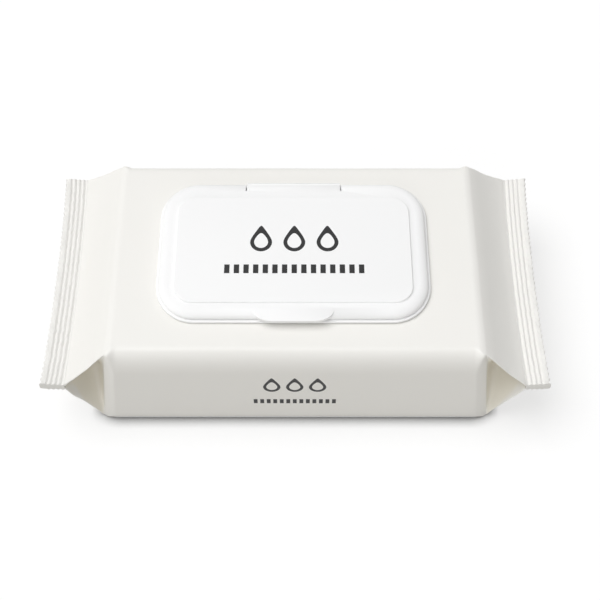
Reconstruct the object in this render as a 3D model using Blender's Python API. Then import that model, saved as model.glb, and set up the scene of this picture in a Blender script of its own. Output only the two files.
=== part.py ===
"""A flow-wrapped pack of wet wipes with a flip lid.

The pack lies on its bottom film on z = 0. Its length runs along X, between two crimped end
seals, and the lid's tab points to -Y. All sizes are in metres.

The film is one folded sheet: a box round the wipes whose side panels tuck inwards at both
ends. Its cross-sections are worked out station by station along X. The film keeps its length
where it folds, so the tuck grows as the section grows lower towards the end seal.
"""

import math

import bmesh
import bpy

# Clearances
CLEARANCE = 0.0003
RING_CLEARANCE = 0.0005

# How far a joined feature sinks into its carrier, and how far a cut runs past what it cuts
SINK = 0.0005
CUT_SPARE = 0.0008

# Film: the box round the wipes
FILM_WALL = 0.0004
PACK_HEIGHT = 0.0479
BOTTOM_DEPTH = 0.1065
TOP_DEPTH = 0.103
BOTTOM_LENGTH = 0.165
TOP_LENGTH = 0.155
TOP_EDGE_RUN = 0.006
TOP_EDGE_DROP = 0.0115
BOTTOM_EDGE_RADIUS = 0.004
TOP_EASE = 0.0035
BOTTOM_EASE = 0.0015
TOP_CORNER_DROP = 0.0028
BOTTOM_CORNER_DROP = 0.0022

# Film: the tucked ends and the end seals
TUCK_LEAD = 0.0003
EDGE_RUN = 0.005
CORNER_RUN = 0.0045
FOLD_EDGE = 0.0012
FOLD_ROOM = 0.00055
FOLD_TRIM = 0.0005
CREASE_TRIM = 0.001
PANEL_BOW = 0.007
PANEL_BOW_TRIM = 0.004
SEAL_START = 0.095
SEAL_WIDTH = 0.0101
SEAL_DEPTH = 0.108
SEAL_HEIGHT = 0.0298
SEAL_LIFT = 0.0008
SEAL_APPROACH = 0.0002
CRIMP_COUNT = 4
CRIMP_PITCH = 0.00195
CRIMP_HEIGHT = 0.0006
TOOTH_PITCH = 0.0027
TOOTH_DEPTH = 0.0009

# Film: the long seal underneath, folded flat into the bottom
FIN_WIDTH = 0.012
FIN_LENGTH = 0.150
FIN_GROOVE_WIDTH = 0.0005
FIN_GROOVE_DEPTH = 0.0002

# Wipes
WIPE_FOLDS = 16
WIPE_FOLD_DEPTH = 0.0005

# Dispensing opening
OPENING_LENGTH = 0.068
OPENING_DEPTH = 0.036
OPENING_RADIUS = 0.016
FILM_LEDGE = 0.0015

# Lid frame
LID_CENTRE_X = -0.0008
LID_CENTRE_Y = 0.00115
FRAME_LENGTH = 0.1143
FRAME_DEPTH = 0.0713
FRAME_CORNER_X = 0.0165
FRAME_CORNER_Y = 0.0185
FRAME_THICKNESS = 0.001
FRAME_EDGE_ROUND = 0.0003
COLLAR_WALL = 0.0012
COLLAR_HEIGHT = 0.0024
COLLAR_ROUND = 0.0004
CATCH_LENGTH = 0.024
CATCH_WALL = 0.001
CATCH_HEIGHT = 0.0016
CATCH_INSET = 0.0066

# Lid
LID_MARGIN = 0.001
LID_WALL = 0.001
LID_LEDGE_HEIGHT = 0.0031
RIM_RUN = 0.0042
RIM_RISE = 0.0024
PANEL_STEP = 0.0008
PANEL_SIDE_INSET = 0.0077
PANEL_FRONT_INSET = 0.0072
PANEL_BACK_INSET = 0.0098
PANEL_CORNER = 0.008
PANEL_ROUND = 0.0004
RING_WALL = 0.001
TAB_LENGTH = 0.0333
TAB_REACH = 0.0015
TAB_THICKNESS = 0.0012
TAB_CORNER = 0.006
TAB_INSET = 0.005

# Hinge
HINGE_LENGTH = 0.041
HINGE_RADIUS = 0.0009
HINGE_OVERHANG = 0.0001
SLIT_WIDTH = 0.0008
SLIT_LENGTH = 0.0058

# Fineness of the round stretches
TOP_EDGE_STEPS = 5
BOTTOM_EDGE_STEPS = 3
CREASE_STEPS = 2
BOW_STEPS = 2
TUCK_STATIONS = 9
CORNER_STATIONS = 4
STATIONS_PER_CRIMP = 6
OUTLINE_STEPS = 8
RIM_STEPS = 4
HINGE_SIDES = 20
STATION_CROWDING = 1.6
SHARP_ANGLE = 35

# Worked out from the sizes above
BODY_END = (TOP_LENGTH + BOTTOM_LENGTH) / 4
TUCK_START = BODY_END - TUCK_LEAD
SEAL_END = SEAL_START + SEAL_WIDTH
FRAME_BOTTOM = PACK_HEIGHT + CLEARANCE
FRAME_TOP = FRAME_BOTTOM + FRAME_THICKNESS
RIM_BOTTOM = FRAME_TOP + CLEARANCE
LEDGE_TOP = FRAME_TOP + LID_LEDGE_HEIGHT
PANEL_TOP = LEDGE_TOP + PANEL_STEP
PANEL_UNDERSIDE = PANEL_TOP - LID_WALL
FRAME_BACK = LID_CENTRE_Y + FRAME_DEPTH / 2
FRAME_FRONT = LID_CENTRE_Y - FRAME_DEPTH / 2
HINGE_Y = FRAME_BACK + HINGE_OVERHANG - HINGE_RADIUS
HINGE_Z = FRAME_TOP + HINGE_RADIUS

MATERIALS = {
    "printed_film": ((0.93, 0.92, 0.89, 1.0), 0.38),
    "wet_nonwoven": ((0.92, 0.93, 0.93, 1.0), 0.80),
    "white_polypropylene": ((0.95, 0.95, 0.95, 1.0), 0.30),
}


def clear_scene():
    """Remove every object of the scene."""
    for obj in list(bpy.data.objects):
        bpy.data.objects.remove(obj, do_unlink=True)


def make_material(name):
    """A plain Principled material of the named finish."""
    colour, roughness = MATERIALS[name]
    material = bpy.data.materials.new(name)
    material.use_nodes = True
    shader = material.node_tree.nodes["Principled BSDF"]
    shader.inputs["Base Color"].default_value = colour
    shader.inputs["Roughness"].default_value = roughness
    shader.inputs["Metallic"].default_value = 0.0
    return material


def clamp(value, low, high):
    """The value, held between low and high."""
    return max(low, min(high, value))


# Film shape along X


def eased_ramp(distance, ease):
    """0 far before the bend, distance far after it, and a parabola within ease of it."""
    if distance <= -ease:
        return 0.0
    if distance >= ease:
        return distance
    return (distance + ease) ** 2 / (4 * ease)


def top_height(x):
    """Height of the top film: flat over the wipes, then straight down to the end seal."""
    slope = (PACK_HEIGHT - SEAL_HEIGHT - FOLD_EDGE) / (SEAL_START - BODY_END)
    return PACK_HEIGHT - slope * eased_ramp(abs(x) - BODY_END, TOP_EASE)


def bottom_height(x):
    """Height of the bottom film: flat, then straight up to the end seal."""
    slope = (SEAL_HEIGHT - FOLD_EDGE) / (SEAL_START - BODY_END)
    return slope * eased_ramp(abs(x) - BODY_END, BOTTOM_EASE)


def half_depth(x, z):
    """Half the pack's depth at a height: it leans in towards the top and rounds in at the
    upright corners, and beyond them it runs straight to the seal."""
    level = z / PACK_HEIGHT
    into_corner = clamp(1 + (abs(x) - TUCK_START) / CORNER_RUN, 0.0, 1.0)
    drop = BOTTOM_CORNER_DROP + (TOP_CORNER_DROP - BOTTOM_CORNER_DROP) * level
    lean = (BOTTOM_DEPTH - TOP_DEPTH) / 2 * level
    at_corner = BOTTOM_DEPTH / 2 - lean - drop * into_corner**2
    share = clamp((abs(x) - TUCK_START) / (SEAL_START - TUCK_START), 0.0, 1.0)
    return at_corner + share * (SEAL_DEPTH / 2 - at_corner)


def end_lean(x, z):
    """How far outwards a point of a station lies: the box is longer at the bottom."""
    inner = abs(x) / TUCK_START
    outer = (SEAL_START - abs(x)) / (SEAL_START - TUCK_START)
    share = clamp(min(inner, outer), 0.0, 1.0)
    return share * (BOTTOM_LENGTH - TOP_LENGTH) / 4 * (1 - 2 * z / PACK_HEIGHT)


def edge_sizes(x):
    """Run and drop of the rounded top edge and radius of the bottom edge: small at the folds."""
    share = clamp((TUCK_START - abs(x)) / EDGE_RUN, 0.0, 1.0)
    softened = share * share * (3 - 2 * share)
    folded = FOLD_EDGE - FOLD_ROOM
    return [
        folded + (full - folded) * softened
        for full in (TOP_EDGE_RUN, TOP_EDGE_DROP, BOTTOM_EDGE_RADIUS)
    ]


def side_panel(x):
    """Heights of the upper and lower fold lines of the side panel."""
    _, top_drop, bottom_radius = edge_sizes(x)
    upper = top_height(x) - top_drop - FOLD_ROOM
    return upper, bottom_height(x) + bottom_radius + FOLD_ROOM


def tuck_reach(x):
    """How far the crease lies inside the pack: the panel keeps its height as the ends close."""
    if abs(x) <= TUCK_START:
        return 0.0
    upper, lower = side_panel(x)
    whole_upper, whole_lower = side_panel(TUCK_START)
    return math.sqrt((whole_upper - whole_lower) ** 2 - (upper - lower) ** 2) / 2


def panel_bow(x):
    """How far each half of the tucked panel bows inwards: most next to the wipes."""
    share = clamp((abs(x) - TUCK_START) / (SEAL_START - TUCK_START), 0.0, 1.0)
    return PANEL_BOW * math.sqrt(share) * (1 - share)


def bowed_middle(first, second, bow):
    """The middle between two points, moved to the right of the way from one to the other."""
    along = unit((second[0] - first[0], second[1] - first[1]))
    middle = ((first[0] + second[0]) / 2, (first[1] + second[1]) / 2)
    return middle[0] + along[1] * bow, middle[1] - along[0] * bow


# Cross-sections


def unit(vector):
    """The vector at length 1."""
    length = math.hypot(*vector)
    return vector[0] / length, vector[1] / length


def rounded_corner(before, corner, after, trim_in, trim_out, steps):
    """Points and inward normals of a rounded corner of an outline that runs clockwise.

    The arc starts trim_in before the corner and ends trim_out after it, and touches both sides.
    """
    go_in = unit((corner[0] - before[0], corner[1] - before[1]))
    go_out = unit((after[0] - corner[0], after[1] - corner[1]))
    back = (-go_in[0] * trim_in, -go_in[1] * trim_in)
    ahead = (go_out[0] * trim_out, go_out[1] * trim_out)
    result = []
    for step in range(steps + 1):
        angle = math.radians(90) * step / steps
        sine, cosine = math.sin(angle), math.cos(angle)
        point = tuple(c + b * (1 - sine) + a * (1 - cosine) for c, b, a in zip(corner, back, ahead))
        along = unit((ahead[0] * sine - back[0] * cosine, ahead[1] * sine - back[1] * cosine))
        result.append((point, (along[1], -along[0])))
    return result


def mirrored_loop(half):
    """A closed loop from the points of its +Y half, which starts and ends on the middle."""
    other = [(-y, z) for y, z in reversed(half[1:-1])]
    return half + other


def film_section(x, inset=0.0):
    """The film's outline in Y and Z at a station of the box or of a tucked end.

    An inset of the wall thickness gives the inside of the film.
    """
    top = top_height(x)
    bottom = bottom_height(x)
    top_run, top_drop, bottom_radius = edge_sizes(x)
    upper, lower = side_panel(x)
    middle = (upper + lower) / 2
    top_middle = (0.0, top)
    top_corner = (half_depth(x, top), top)
    upper_fold = (half_depth(x, upper), upper)
    tucked = abs(x) + inset
    crease = (half_depth(x, middle) - tuck_reach(tucked), middle)
    bow = panel_bow(tucked)
    lower_fold = (half_depth(x, lower), lower)
    bottom_corner = (half_depth(x, bottom), bottom)
    bottom_middle = (0.0, bottom)
    outline = (
        top_middle,
        top_corner,
        upper_fold,
        bowed_middle(upper_fold, crease, bow),
        crease,
        bowed_middle(crease, lower_fold, bow),
        lower_fold,
        bottom_corner,
        bottom_middle,
    )
    arcs = (
        (top_run, top_drop, TOP_EDGE_STEPS),
        (FOLD_TRIM, FOLD_TRIM, 1),
        (PANEL_BOW_TRIM, PANEL_BOW_TRIM, BOW_STEPS),
        (CREASE_TRIM, CREASE_TRIM, CREASE_STEPS),
        (PANEL_BOW_TRIM, PANEL_BOW_TRIM, BOW_STEPS),
        (FOLD_TRIM, FOLD_TRIM, 1),
        (bottom_radius, bottom_radius, BOTTOM_EDGE_STEPS),
    )
    half = [(top_middle, (0.0, -1.0))]
    for index, arc in enumerate(arcs):
        half.extend(rounded_corner(*outline[index : index + 3], *arc))
    half.append((bottom_middle, (0.0, 1.0)))
    return mirrored_loop([(p[0] + n[0] * inset, p[1] + n[1] * inset) for p, n in half])


def seal_section(x):
    """The outline of the flat end seal, with as many points as film_section gives."""
    along = abs(x) - SEAL_START
    crimped = clamp(along, 0.0, CRIMP_COUNT * CRIMP_PITCH)
    wave = (math.cos(2 * math.pi * crimped / CRIMP_PITCH) - 1) / 2
    middle = SEAL_HEIGHT + SEAL_LIFT * along / SEAL_WIDTH + CRIMP_HEIGHT * wave
    depth = SEAL_DEPTH / 2
    top = middle + FOLD_EDGE
    bottom = middle - FOLD_EDGE
    trims = (FOLD_TRIM, FOLD_TRIM)
    side = (depth, middle)
    upper = rounded_corner((0.0, top), (depth, top), side, *trims, TOP_EDGE_STEPS)
    lower = rounded_corner(side, (depth, bottom), (0.0, bottom), *trims, BOTTOM_EDGE_STEPS)
    between = 2 * 2 + 2 * (BOW_STEPS + 1) + CREASE_STEPS + 1
    end_height = 2 * (FOLD_EDGE - FOLD_TRIM)
    half = [(0.0, top)] + [point for point, _ in upper]
    for index in range(between):
        share = (index + 1) / (between + 1)
        half.append((depth, middle + end_height * (0.5 - share)))
    half += [point for point, _ in lower] + [(0.0, bottom)]
    return mirrored_loop(half)


# Mesh helpers


def new_object(name, mesh, material=None):
    """An object of the mesh, shaded smooth up to sharp edges."""
    obj = bpy.data.objects.new(name, mesh)
    bpy.context.scene.collection.objects.link(obj)
    if material is not None:
        mesh.materials.append(material)
        mesh.shade_smooth()
        mesh.set_sharp_from_angle(angle=math.radians(SHARP_ANGLE))
    return obj


def loft(name, rings, closed=False):
    """A mesh through rings of as many points each, capped at both ends or joined in a circle."""
    build = bmesh.new()
    rows = [[build.verts.new(point) for point in ring] for ring in rings]
    count = len(rows[0])
    pairs = list(zip(rows, rows[1:]))
    if closed:
        pairs.append((rows[-1], rows[0]))
    for first, second in pairs:
        for index in range(count):
            after = (index + 1) % count
            build.faces.new((first[index], first[after], second[after], second[index]))
    if not closed:
        build.faces.new(list(reversed(rows[0])))
        build.faces.new(rows[-1])
    bmesh.ops.recalc_face_normals(build, faces=build.faces)
    mesh = bpy.data.meshes.new(name)
    build.to_mesh(mesh)
    build.free()
    return mesh


def prism(name, outline, low, high):
    """An upright prism over an outline in X and Y."""
    return loft(name, [[(x, y, z) for x, y in outline] for z in (low, high)])


def box_mesh(name, low, high):
    """A box between two corners."""
    outline = [(low[0], low[1]), (high[0], low[1]), (high[0], high[1]), (low[0], high[1])]
    return prism(name, outline, low[2], high[2])


def combine(obj, name, mesh, operation):
    """Cut the mesh out of the object, or join it on, as a Boolean with a hidden helper."""
    helper = new_object(name, mesh)
    helper.hide_render = True
    helper.display_type = "WIRE"
    modifier = obj.modifiers.new(name, "BOOLEAN")
    modifier.operation = operation
    modifier.solver = "EXACT"
    modifier.object = helper


def rounded_outline(low, high, corner_x, corner_y):
    """A rectangle in X and Y with elliptic corners, counter-clockwise."""
    points = []
    for quarter, (sign_x, sign_y) in enumerate(((1, -1), (1, 1), (-1, 1), (-1, -1))):
        middle_x = (high[0] - corner_x) if sign_x > 0 else (low[0] + corner_x)
        middle_y = (high[1] - corner_y) if sign_y > 0 else (low[1] + corner_y)
        for step in range(OUTLINE_STEPS + 1):
            angle = math.radians(90) * (quarter - 1 + step / OUTLINE_STEPS)
            x = middle_x + corner_x * math.cos(angle)
            points.append((x, middle_y + corner_y * math.sin(angle)))
    return points


def frame_outline(inset):
    """The lid frame's outline, drawn in by inset."""
    half = FRAME_LENGTH / 2 - inset
    return rounded_outline(
        (LID_CENTRE_X - half, FRAME_FRONT + inset),
        (LID_CENTRE_X + half, FRAME_BACK - inset),
        FRAME_CORNER_X - inset,
        FRAME_CORNER_Y - inset,
    )


def opening_outline(outset):
    """The dispensing opening's outline, let out by outset."""
    half_length = OPENING_LENGTH / 2 + outset
    half_width = OPENING_DEPTH / 2 + outset
    radius = OPENING_RADIUS + outset
    return rounded_outline(
        (LID_CENTRE_X - half_length, LID_CENTRE_Y - half_width),
        (LID_CENTRE_X + half_length, LID_CENTRE_Y + half_width),
        radius,
        radius,
    )


def panel_outline(outset):
    """The lid's raised panel, let out by outset."""
    half = FRAME_LENGTH / 2 - PANEL_SIDE_INSET + outset
    return rounded_outline(
        (LID_CENTRE_X - half, FRAME_FRONT + PANEL_FRONT_INSET - outset),
        (LID_CENTRE_X + half, FRAME_BACK - PANEL_BACK_INSET + outset),
        PANEL_CORNER + outset,
        PANEL_CORNER + outset,
    )


def at_height(outline, z):
    """The outline's points at one height."""
    return [(x, y, z) for x, y in outline]


# Film wrapper


def corner_stations():
    """Stations of one end between the flat of the box and the tuck."""
    first = TUCK_START - max(CORNER_RUN, EDGE_RUN)
    run = TUCK_START - FILM_WALL - first
    return [first + run * step / CORNER_STATIONS for step in range(CORNER_STATIONS + 1)]


def tuck_stations():
    """Stations of one tucked end, close together where the tuck grows fastest."""
    run = SEAL_START - SEAL_APPROACH - TUCK_START
    shares = [(step / TUCK_STATIONS) ** STATION_CROWDING for step in range(TUCK_STATIONS + 1)]
    return [TUCK_START + run * share for share in shares]


def seal_stations():
    """Stations of one end seal: its crimps and then its plain outer band."""
    count = CRIMP_COUNT * STATIONS_PER_CRIMP
    crimps = [SEAL_START + CRIMP_PITCH * step / STATIONS_PER_CRIMP for step in range(count + 1)]
    return crimps + [SEAL_END]


def along_x(stations, section):
    """Rings of one end, from the middle of the pack outwards."""
    return [(x, section(x)) for x in stations]


def both_ends(half):
    """Rings from the -X end to the +X end, from the stations of the +X end."""
    rings = []
    for x, outline in reversed(half):
        rings.append([(-x - end_lean(x, z), y, z) for y, z in outline])
    for x, outline in half:
        rings.append([(x + end_lean(x, z), y, z) for y, z in outline])
    return rings


def tooth_outline(side):
    """The waste beyond the zigzag edge of one end seal."""
    reach = SEAL_DEPTH / 2 + TOOTH_PITCH
    count = 2 * math.ceil(reach / TOOTH_PITCH)
    outline = []
    for index in range(2 * count + 1):
        depth = TOOTH_DEPTH if index % 2 else 0.0
        y = (index / 2 - count / 2) * TOOTH_PITCH
        outline.append((side * (SEAL_END - depth), y))
    waste = SEAL_END + 2 * TOOTH_DEPTH
    outline.append((side * waste, outline[-1][1]))
    outline.append((side * waste, outline[0][1]))
    return outline


def build_film_wrapper(material):
    """The folded and sealed film with its dispensing opening."""
    box_half = corner_stations() + tuck_stations()
    outer = along_x(box_half, film_section) + along_x(seal_stations(), seal_section)
    wrapper = new_object("film_wrapper", loft("film_wrapper", both_ends(outer)), material)
    inner = along_x(box_half, lambda x: film_section(x, FILM_WALL))
    combine(wrapper, "film_inside", loft("film_inside", both_ends(inner)), "DIFFERENCE")
    hole = prism(
        "film_opening",
        opening_outline(-FILM_LEDGE),
        PACK_HEIGHT - FILM_WALL - CUT_SPARE,
        PACK_HEIGHT + CUT_SPARE,
    )
    combine(wrapper, "film_opening", hole, "DIFFERENCE")
    low = SEAL_HEIGHT - FOLD_EDGE - CRIMP_HEIGHT - CUT_SPARE
    high = SEAL_HEIGHT + FOLD_EDGE + SEAL_LIFT + CUT_SPARE
    for name, side in (("left", -1), ("right", 1)):
        teeth = prism("teeth_" + name, tooth_outline(side), low, high)
        combine(wrapper, "teeth_" + name, teeth, "DIFFERENCE")
    for name, side in (("front", -1), ("back", 1)):
        middle = side * FIN_WIDTH / 2
        groove = box_mesh(
            "fin_groove_" + name,
            (-FIN_LENGTH / 2, middle - FIN_GROOVE_WIDTH / 2, -FIN_GROOVE_DEPTH),
            (FIN_LENGTH / 2, middle + FIN_GROOVE_WIDTH / 2, FIN_GROOVE_DEPTH),
        )
        combine(wrapper, "fin_groove_" + name, groove, "DIFFERENCE")
    return wrapper


# Wipes


def rounded_in(distance, run, drop):
    """How far an elliptic edge lies inside its corner, distance short of its end."""
    share = clamp(1 - distance / drop, 0.0, 1.0)
    return run * (1 - math.sqrt(1 - share**2))


def stack_section(x):
    """The folded stack's outline in Y and Z, with a shallow groove between its folds."""
    inset = FILM_WALL + CLEARANCE
    low = bottom_height(x) + inset
    high = top_height(x) - inset
    bottom_radius = BOTTOM_EDGE_RADIUS - inset
    half = []
    levels = 2 * WIPE_FOLDS
    for level in range(levels + 1):
        z = high - (high - low) * level / levels
        drawn_in = inset + rounded_in(high - z, TOP_EDGE_RUN - inset, TOP_EDGE_DROP - inset)
        drawn_in += rounded_in(z - low, bottom_radius, bottom_radius)
        groove = WIPE_FOLD_DEPTH if level % 2 == 0 else 0.0
        half.append((half_depth(x, z) - drawn_in - groove, z))
    return half + [(-y, z) for y, z in reversed(half)]


def build_wipes_stack(material):
    """The stack of folded wipes that fills the box of film."""
    end = TUCK_START - FILM_WALL - CLEARANCE
    first = TUCK_START - CORNER_RUN
    count = CORNER_STATIONS
    stations = [first + (end - first) * step / count for step in range(count + 1)]
    rings = both_ends(along_x(stations, stack_section))
    return new_object("wipes_stack", loft("wipes_stack", rings), material)


# Lid frame


def build_lid_frame(material):
    """The flat frame on the film: its collar, the front catch and the hinge roll."""
    collar_top = FRAME_TOP + COLLAR_HEIGHT
    rings = [
        at_height(frame_outline(0.0), FRAME_BOTTOM),
        at_height(frame_outline(0.0), FRAME_TOP - FRAME_EDGE_ROUND),
        at_height(frame_outline(FRAME_EDGE_ROUND), FRAME_TOP),
        at_height(opening_outline(COLLAR_WALL), FRAME_TOP),
        at_height(opening_outline(COLLAR_WALL), collar_top - COLLAR_ROUND),
        at_height(opening_outline(COLLAR_WALL - COLLAR_ROUND), collar_top),
        at_height(opening_outline(COLLAR_ROUND), collar_top),
        at_height(opening_outline(0.0), collar_top - COLLAR_ROUND),
        at_height(opening_outline(0.0), FRAME_BOTTOM),
    ]
    frame = new_object("lid_frame", loft("lid_frame", rings, closed=True), material)
    catch_y = FRAME_FRONT + CATCH_INSET
    catch = box_mesh(
        "catch",
        (LID_CENTRE_X - CATCH_LENGTH / 2, catch_y, FRAME_TOP - SINK),
        (LID_CENTRE_X + CATCH_LENGTH / 2, catch_y + CATCH_WALL, FRAME_TOP + CATCH_HEIGHT),
    )
    combine(frame, "catch", catch, "UNION")
    combine(frame, "hinge_roll", hinge_roll_mesh(), "UNION")
    return frame


def hinge_roll_mesh():
    """The roll of the hinge, with a foot that sinks into the frame's back edge."""
    rings = []
    half = HINGE_LENGTH / 2 - SLIT_WIDTH / 2 - CLEARANCE
    foot = FRAME_TOP - SINK
    foot_back = FRAME_BACK - FRAME_EDGE_ROUND
    for x in (LID_CENTRE_X - half, LID_CENTRE_X + half):
        ring = []
        for step in range(HINGE_SIDES // 2 + 1):
            angle = math.pi * step / (HINGE_SIDES // 2)
            y = HINGE_Y + HINGE_RADIUS * math.cos(angle)
            ring.append((x, y, HINGE_Z + HINGE_RADIUS * math.sin(angle)))
        ring.append((x, HINGE_Y - HINGE_RADIUS, foot))
        ring.append((x, foot_back, foot))
        ring.append((x, foot_back, FRAME_TOP))
        rings.append(ring)
    return loft("hinge_roll", rings)


# Lid


def rim_rings(inset, low, high, flip):
    """Rings up a rounded rim, from its edge to the ledge, or down it where flip is set."""
    rings = []
    for step in range(RIM_STEPS + 1):
        angle = math.radians(90) * step / RIM_STEPS
        drawn_in = LID_MARGIN + inset + RIM_RUN * (1 - math.cos(angle))
        z = low + (high - low) * math.sin(angle)
        rings.append(at_height(frame_outline(drawn_in), z))
    return list(reversed(rings)) if flip else rings


def build_flip_lid(material):
    """The lid: its stepped panel, rounded rim, sealing ring, tab, snap rib and hinge slits."""
    inner_ledge = LEDGE_TOP - LID_WALL
    ring_inner = COLLAR_WALL + RING_CLEARANCE
    ring_outer = ring_inner + RING_WALL
    ring_bottom = FRAME_TOP + RING_CLEARANCE
    rings = [
        at_height(panel_outline(-PANEL_ROUND), PANEL_TOP),
        at_height(panel_outline(0.0), PANEL_TOP - PANEL_ROUND),
        at_height(panel_outline(0.0), LEDGE_TOP),
    ]
    rings += rim_rings(0.0, LEDGE_TOP - RIM_RISE, LEDGE_TOP, flip=True)
    rings.append(at_height(frame_outline(LID_MARGIN), RIM_BOTTOM))
    rings.append(at_height(frame_outline(LID_MARGIN + LID_WALL), RIM_BOTTOM))
    rings += rim_rings(LID_WALL, LEDGE_TOP - RIM_RISE, inner_ledge, flip=False)
    rings += [
        at_height(panel_outline(-LID_WALL), inner_ledge),
        at_height(panel_outline(-LID_WALL), PANEL_UNDERSIDE),
        at_height(opening_outline(ring_outer), PANEL_UNDERSIDE),
        at_height(opening_outline(ring_outer), ring_bottom),
        at_height(opening_outline(ring_inner), ring_bottom),
        at_height(opening_outline(ring_inner), PANEL_UNDERSIDE),
    ]
    lid = new_object("flip_lid", loft("flip_lid", rings), material)
    combine(lid, "tab", tab_mesh(), "UNION")
    rib_front = FRAME_FRONT + CATCH_INSET - RING_CLEARANCE - CATCH_WALL
    rib = box_mesh(
        "snap_rib",
        (LID_CENTRE_X - CATCH_LENGTH / 2, rib_front, FRAME_TOP + RING_CLEARANCE),
        (LID_CENTRE_X + CATCH_LENGTH / 2, rib_front + CATCH_WALL, LEDGE_TOP - LID_WALL + SINK),
    )
    combine(lid, "snap_rib", rib, "UNION")
    combine(lid, "hinge_room", hinge_room_mesh(), "DIFFERENCE")
    for name, side in (("left", -1), ("right", 1)):
        middle = LID_CENTRE_X + side * HINGE_LENGTH / 2
        slit = box_mesh(
            "hinge_slit_" + name,
            (middle - SLIT_WIDTH / 2, FRAME_BACK - SLIT_LENGTH, FRAME_TOP),
            (middle + SLIT_WIDTH / 2, FRAME_BACK + LID_MARGIN, PANEL_TOP),
        )
        combine(lid, "hinge_slit_" + name, slit, "DIFFERENCE")
    turn_about_hinge(lid)
    return lid


def tab_mesh():
    """The thumb tab, level with the ledge, with rounded front corners."""
    half = TAB_LENGTH / 2
    back = FRAME_FRONT + TAB_INSET
    outline = [(LID_CENTRE_X + half, back), (LID_CENTRE_X - half, back)]
    for side, first in ((-1, 180), (1, 270)):
        middle_x = LID_CENTRE_X + side * (half - TAB_CORNER)
        middle_y = FRAME_FRONT - TAB_REACH + TAB_CORNER
        for step in range(OUTLINE_STEPS + 1):
            angle = math.radians(first + 90 * step / OUTLINE_STEPS)
            x = middle_x + TAB_CORNER * math.cos(angle)
            outline.append((x, middle_y + TAB_CORNER * math.sin(angle)))
    return prism("tab", outline, LEDGE_TOP - TAB_THICKNESS, LEDGE_TOP)


def hinge_room_mesh():
    """The room that the lid leaves round the hinge roll."""
    half = HINGE_LENGTH / 2
    front = HINGE_Y - HINGE_RADIUS - CLEARANCE
    return box_mesh(
        "hinge_room",
        (LID_CENTRE_X - half, front, FRAME_TOP),
        (LID_CENTRE_X + half, FRAME_BACK + LID_MARGIN, PANEL_TOP),
    )


def turn_about_hinge(lid):
    """Put the lid's origin, and those of its helpers, on the hinge axis."""
    axis = (LID_CENTRE_X, HINGE_Y, HINGE_Z)
    helpers = [modifier.object for modifier in lid.modifiers]
    for obj in [lid] + helpers:
        for vertex in obj.data.vertices:
            vertex.co = [value - offset for value, offset in zip(vertex.co, axis)]
        obj.location = axis


def main():
    """Build the four pieces of the pack."""
    clear_scene()
    film = make_material("printed_film")
    nonwoven = make_material("wet_nonwoven")
    plastic = make_material("white_polypropylene")
    build_film_wrapper(film)
    build_wipes_stack(nonwoven)
    build_lid_frame(plastic)
    build_flip_lid(plastic)


main()
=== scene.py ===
"""The looks of a soft pack of wet wipes with a flip lid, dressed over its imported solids.

All sizes are in metres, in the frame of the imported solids: the pack lies on z = 0, its length
runs along X and the lid's tab points to -Y.
"""

import logging
import math
from collections.abc import Callable
from dataclasses import dataclass, field
from enum import Enum

import bmesh
import bpy
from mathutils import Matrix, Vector, noise


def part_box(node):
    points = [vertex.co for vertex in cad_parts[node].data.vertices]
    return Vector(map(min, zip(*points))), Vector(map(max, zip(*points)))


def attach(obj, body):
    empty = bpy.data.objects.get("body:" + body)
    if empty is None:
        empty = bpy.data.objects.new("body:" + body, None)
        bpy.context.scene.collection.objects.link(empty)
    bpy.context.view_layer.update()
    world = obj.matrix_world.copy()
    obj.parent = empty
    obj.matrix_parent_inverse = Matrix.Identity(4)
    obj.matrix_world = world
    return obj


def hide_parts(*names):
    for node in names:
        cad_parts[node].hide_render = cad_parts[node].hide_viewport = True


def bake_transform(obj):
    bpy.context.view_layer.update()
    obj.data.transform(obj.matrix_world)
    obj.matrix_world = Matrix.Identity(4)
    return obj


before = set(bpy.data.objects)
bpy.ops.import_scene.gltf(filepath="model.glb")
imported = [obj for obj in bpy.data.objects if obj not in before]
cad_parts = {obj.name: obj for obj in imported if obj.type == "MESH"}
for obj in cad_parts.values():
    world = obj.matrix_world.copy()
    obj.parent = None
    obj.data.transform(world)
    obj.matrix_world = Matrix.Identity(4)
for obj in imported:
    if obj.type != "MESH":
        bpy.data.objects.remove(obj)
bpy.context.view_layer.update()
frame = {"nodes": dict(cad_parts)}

LOG = logging.getLogger("wipes_pack")

Point2 = tuple[float, float]
Point3 = tuple[float, float, float]
Spot = tuple[Point2, Point2, float]

RIGHT_ANGLE = math.radians(90)
BLACK = (0.0, 0.0, 0.0)
MOULDED_SOFTNESS = 0.00012
INK_LIFT = 0.00002


class Side(Enum):
    """The two ends of the pack."""

    LEFT = -1
    RIGHT = 1


class Body(Enum):
    """The rigid bodies that the pieces ride on."""

    PACK = "pack"
    LID = "lid"


class Slot(Enum):
    """Names of the material slots."""

    FILM = "printed_film"
    WIPES = "wet_nonwoven"
    PLASTIC = "white_polypropylene"


# Node trees


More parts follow.
